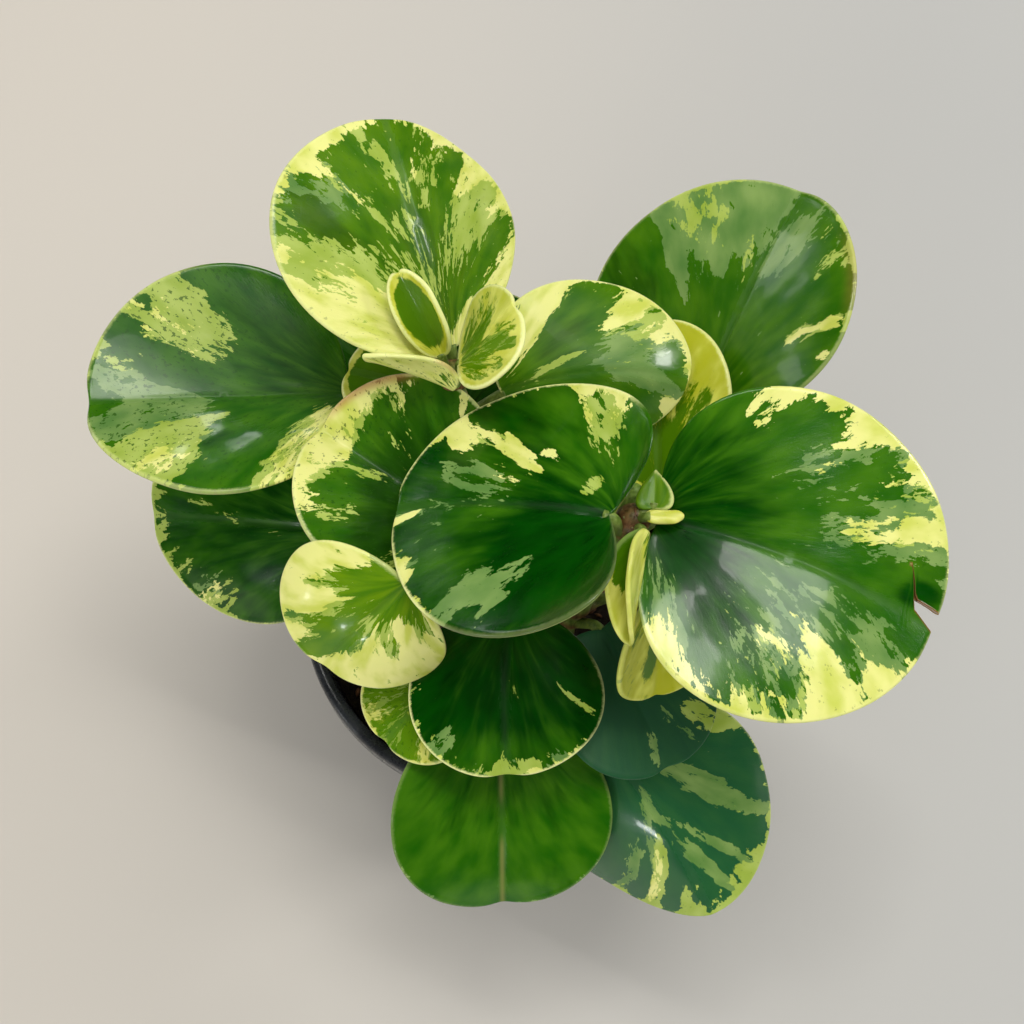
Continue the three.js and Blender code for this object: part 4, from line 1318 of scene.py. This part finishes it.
def pot_profile():
    """The pot's closed section, from its underside out over the rim and down inside to its floor."""
    inner_top = pot_outer(WALL_TOP) - POT_WALL
    lip = (POT_RIM_RADIUS - inner_top) / 2
    foot = POT_BASE_RADIUS - POT_FOOT
    profile = [(radius, POT_RECESS) for radius in (MIDDLE, UNDERSIDE_RING, foot)]
    profile += arc(foot + POT_RECESS, POT_RECESS, POT_RECESS, 180, 270, 3)
    profile += arc(POT_BASE_RADIUS - POT_BASE_ROUND, POT_BASE_ROUND, POT_BASE_ROUND, -90, -10, 6)
    profile += [(pot_outer(h), h) for h in np.linspace(POT_FOOT, WALL_TOP - 1.5, 24)]
    profile += arc(pot_outer(WALL_TOP) + RIM_HOLLOW, WALL_TOP - RIM_HOLLOW, RIM_HOLLOW, 180, 90, 4)
    profile += arc(POT_RIM_RADIUS - RIM_EDGE, WALL_TOP + RIM_EDGE, RIM_EDGE, -90, 0, 5)
    profile += [(POT_RIM_RADIUS - RIM_LEAN, WALL_TOP + 3), (POT_RIM_RADIUS, WALL_TOP + 5)]
    profile += arc(inner_top + lip, POT_HEIGHT - lip, lip, 0, 180, 18)
    inner_foot = POT_FLOOR + INNER_ROUND
    profile += [(pot_outer(h) - POT_WALL, h) for h in np.linspace(WALL_TOP, inner_foot, 20)]
    inner_corner = pot_outer(POT_FLOOR) - POT_WALL - INNER_ROUND
    profile += arc(inner_corner, inner_foot, INNER_ROUND, 0, -90, 5)
    return profile + [(MIDDLE, POT_FLOOR)]


def make_pot(materials):
    pot = mesh_object("nursery_pot", *lathe(pot_profile(), POT_SIDES))
    pot.data.materials.append(materials["pot"])
    cutters = []
    heights = np.linspace(-CUTTER_REACH, CUTTER_REACH + POT_FLOOR, 3)
    for k, (x, y, _) in enumerate(circle(DRAIN_CIRCLE, DRAIN_HOLES)):
        cutter = mesh_object(f"cutter_{k}", *tube([(x, y, h) for h in heights], [DRAIN_RADIUS] * 3, 32))
        cutters.append(cutter)
        change = pot.modifiers.new(f"hole_{k}", "BOOLEAN")
        change.operation = "DIFFERENCE"
        change.solver = "EXACT"
        change.object = cutter
    graph = bpy.context.evaluated_depsgraph_get()
    cut_mesh = bpy.data.meshes.new_from_object(pot.evaluated_get(graph))
    pot.modifiers.clear()
    pot.data = cut_mesh
    for cutter in cutters:
        bpy.data.objects.remove(cutter)
    dress(pot, "pot", "pot")


SOIL_SPOKES = 220
SOIL_RINGS = 70
SOIL_LUMP = 1.6
SOIL_COARSE = (9, 4, 0.8)  # size in mm, octaves and share of the coarse lumps
SOIL_FINE = (2.6, 3, 0.45)
SOIL_SINK = 0.5
SOIL_GAP = 0.3
SOIL_SKIRT = ((60, 1.9), (POT_FLOOR + SOIL_GAP, 2.6))  # height of a ring, gap from the pot's outside


def soil_height(x, y):
    radius = math.hypot(x, y) / (pot_outer(SOIL_TOP) - POT_WALL)
    height = SOIL_TOP + SOIL_MOUND * (1 - radius**2)
    lumps = 0
    for level, (size, octaves, share) in ((0, SOIL_COARSE), (40, SOIL_FINE)):
        lumps += share * noise.fractal(Vector((x, y, level)) / size, 1.0, 2.0, octaves)
    return height + SOIL_LUMP * lumps - SOIL_SINK


def make_soil(materials):
    edge = pot_outer(SOIL_TOP) - POT_WALL - SOIL_GAP
    points = [(0, 0, soil_height(0, 0))]
    for r in range(1, SOIL_RINGS + 1):
        ring = circle(edge * r / SOIL_RINGS, SOIL_SPOKES)
        points += [(x, y, soil_height(x, y)) for x, y, _ in ring]
    for height, gap in SOIL_SKIRT:
        points += circle(pot_outer(height) - gap, SOIL_SPOKES, height)
    points.append((0, 0, SOIL_SKIRT[-1][0]))
    faces = ball_faces(0, SOIL_SPOKES, SOIL_RINGS + len(SOIL_SKIRT))
    soil = mesh_object("potting_mix", points, faces)
    soil.data.materials.append(materials["soil"])
    dress(soil, "soil", "soil")


GRAINS = 420
GRAIN_SIDES = 8
GRAIN_RINGS = 4
GRAIN_LUMP = 0.28
GRAIN_LIFT = 0.15  # of its size, over the soil
PERLITE_SHARE = 0.1
PERLITE = ((0.7, 1.5), (0.7, 1), 0.8)  # least and greatest size and breadth, and the height
BARK = ((0.9, 2.6), (0.3, 0.6), 0.35)


def make_grains(materials):
    """Bark chips and perlite, strewn on the soil by a seeded draw, as one mesh."""
    draw = random.Random(11)
    reach = pot_outer(SOIL_TOP) - POT_WALL - 3
    ball = [(0, 0, 1)]
    for ring in range(1, GRAIN_RINGS + 1):
        tilt = math.pi * ring / (GRAIN_RINGS + 1)
        ball += circle(math.sin(tilt), GRAIN_SIDES, math.cos(tilt))
    ball.append((0, 0, -1))
    points, faces, kinds = [], [], []
    for _ in range(GRAINS):
        radius = reach * math.sqrt(draw.random())
        turn = draw.uniform(0, 2 * math.pi)
        x, y = radius * math.cos(turn), radius * math.sin(turn)
        perlite = draw.random() < PERLITE_SHARE
        sizes, breadths, rise = PERLITE if perlite else BARK
        size = draw.uniform(*sizes)
        shape = (1, draw.uniform(*breadths), rise)
        spin = draw.uniform(0, math.pi)
        tilt = draw.uniform(-0.4, 0.4)
        start = len(points)
        z = soil_height(x, y) + GRAIN_LIFT * size
        for p in ball:
            wobble = 1 + GRAIN_LUMP * noise.noise(Vector(p) * 1.7 + Vector((start, 0, 0)))
            a, b, c = [size * wobble * q * f for q, f in zip(p, shape)]
            a, c = a * math.cos(tilt) - c * math.sin(tilt), a * math.sin(tilt) + c * math.cos(tilt)
            aside, ahead = math.cos(spin), math.sin(spin)
            points.append((x + a * aside - b * ahead, y + a * ahead + b * aside, z + c))
        kinds += [float(perlite)] * len(ball)
        faces += ball_faces(start, GRAIN_SIDES, GRAIN_RINGS)
    grains = mesh_object("soil_grains", points, faces, {"kind": kinds})
    grains.data.materials.append(materials["grains"])
    dress(grains, "soil", "soil")


# ---------------------------------------------------------------- floor and light


FLOOR_REACH = 4  # m
FLOOR_BLEND = 0.25  # m to each side over which its tone changes


def make_floor():
    mesh = bpy.data.meshes.new("floor")
    corners = [(x * FLOOR_REACH, y * FLOOR_REACH, 0) for x, y in ((-1, -1), (1, -1), (1, 1), (-1, 1))]
    mesh.from_pydata(corners, [], [(0, 1, 2, 3)])
    floor = bpy.data.objects.new("floor", mesh)
    bpy.context.scene.collection.objects.link(floor)
    shader = Shader("floor_pale")
    place = shader.tree.nodes.new("ShaderNodeSeparateXYZ")
    shader.put(place.inputs[0], shader.place())
    # The floor is painted lighter and warmer towards -x and darker and cooler towards +x: a painted falloff
    # of light across it.
    side = shader.step(place.outputs[0], -FLOOR_BLEND, FLOOR_BLEND)
    tone = shader.mix(side, rgb("cbc4b9"), rgb("b7b6b2"))
    shader.finish(Base_Color=tone, Roughness=0.9, IOR=1.2)
    floor.data.materials.append(shader.material)


ROOM = (0.15, 0.6, 0.66, 0.4)  # from this height to that, from this strength to that
LIGHT_AIM = (0, 0, 0.15)


def area_light(name, at, size, watts, colour, mirrored=True, turn=None):
    """A rectangular light, aimed at the plant, or hanging level and turned by some degrees.

    One that isn't mirrored brightens the leaves without a sheen.
    """
    data = bpy.data.lights.new(name, "AREA")
    data.shape = "RECTANGLE"
    data.size, data.size_y = size
    data.energy = watts
    data.color = colour
    light = bpy.data.objects.new(name, data)
    bpy.context.scene.collection.objects.link(light)
    light.location = at
    if turn is None:
        light.rotation_euler = (Vector(LIGHT_AIM) - Vector(at)).to_track_quat("-Z", "Y").to_euler()
    else:
        light.rotation_euler = (0, 0, math.radians(turn))
    light.visible_glossy = mirrored


def make_world():
    """A pale room, brighter near the horizon, that the waxy leaves don't mirror."""
    world = bpy.data.worlds.new("world")
    world.use_nodes = True
    tree = world.node_tree
    place = tree.nodes.new("ShaderNodeTexCoord")
    parts = tree.nodes.new("ShaderNodeSeparateXYZ")
    height = tree.nodes.new("ShaderNodeMapRange")
    height.interpolation_type = "SMOOTHSTEP"
    for socket, value in zip(height.inputs[1:5], ROOM):
        socket.default_value = value
    tree.links.new(place.outputs["Generated"], parts.inputs[0])
    tree.links.new(parts.outputs["Z"], height.inputs[0])
    background = tree.nodes["Background"]
    background.inputs[0].default_value = (0.97, 0.98, 1, 1)
    tree.links.new(height.outputs[0], background.inputs[1])
    bpy.context.scene.world = world
    world.cycles_visibility.glossy = False


def make_light():
    """A broad soft light from above, and smaller bright windows that the wax mirrors."""
    area_light("soft", (0.2, 0.1, 1.9), (2.6, 2.4), 10.5, (1, 0.985, 0.95), False)
    area_light("front", (-1.1, -1.5, 1.1), (0.9, 0.9), 7, (1, 0.99, 0.97), False)
    area_light("overhead", (0.26, 0.27, 1.9), (1.16, 0.34), 11, (1, 0.99, 0.96), turn=-26)
    area_light("strip", (0.2, 0.16, 1.9), (1.16, 0.07), 3, (1, 0.99, 0.96), turn=-26)
    area_light("corner", (-0.24, 0.34, 1.9), (0.22, 0.12), 1.4, (1, 0.99, 0.96), turn=-26)
    area_light("right", (1.5, 0.42, 1.0), (0.34, 0.24), 6.5, (1, 0.99, 0.97))
    area_light("window", (-0.8, -1.8, 0.4), (0.14, 0.14), 2.5, (0.96, 0.98, 1))
    area_light("left", (-1.6, -0.75, 0.45), (0.2, 0.2), 1.5, (0.98, 0.99, 1))
    area_light("back", (-0.2, 2.0, 0.85), (0.12, 0.08), 0.4, (0.98, 0.99, 1))
    area_light("back_left", (-1.4, 1.15, 0.65), (0.35, 0.3), 1.2, (0.98, 0.99, 1))
    bpy.context.scene.view_settings.view_transform = "Standard"


# ---------------------------------------------------------------- everything

materials = {
    "leaf": leaf_material(),
    "stem": stem_material(),
    "pot": pot_material(),
    "soil": soil_material(),
    "grains": grain_material(),
}
make_floor()
make_world()
make_light()
make_pot(materials)
make_soil(materials)
make_grains(materials)
for letter in STEMS:
    make_stem(letter, materials)
for name in [*LEAVES, *YOUNG_LEAVES]:
    make_leaf(name, materials)
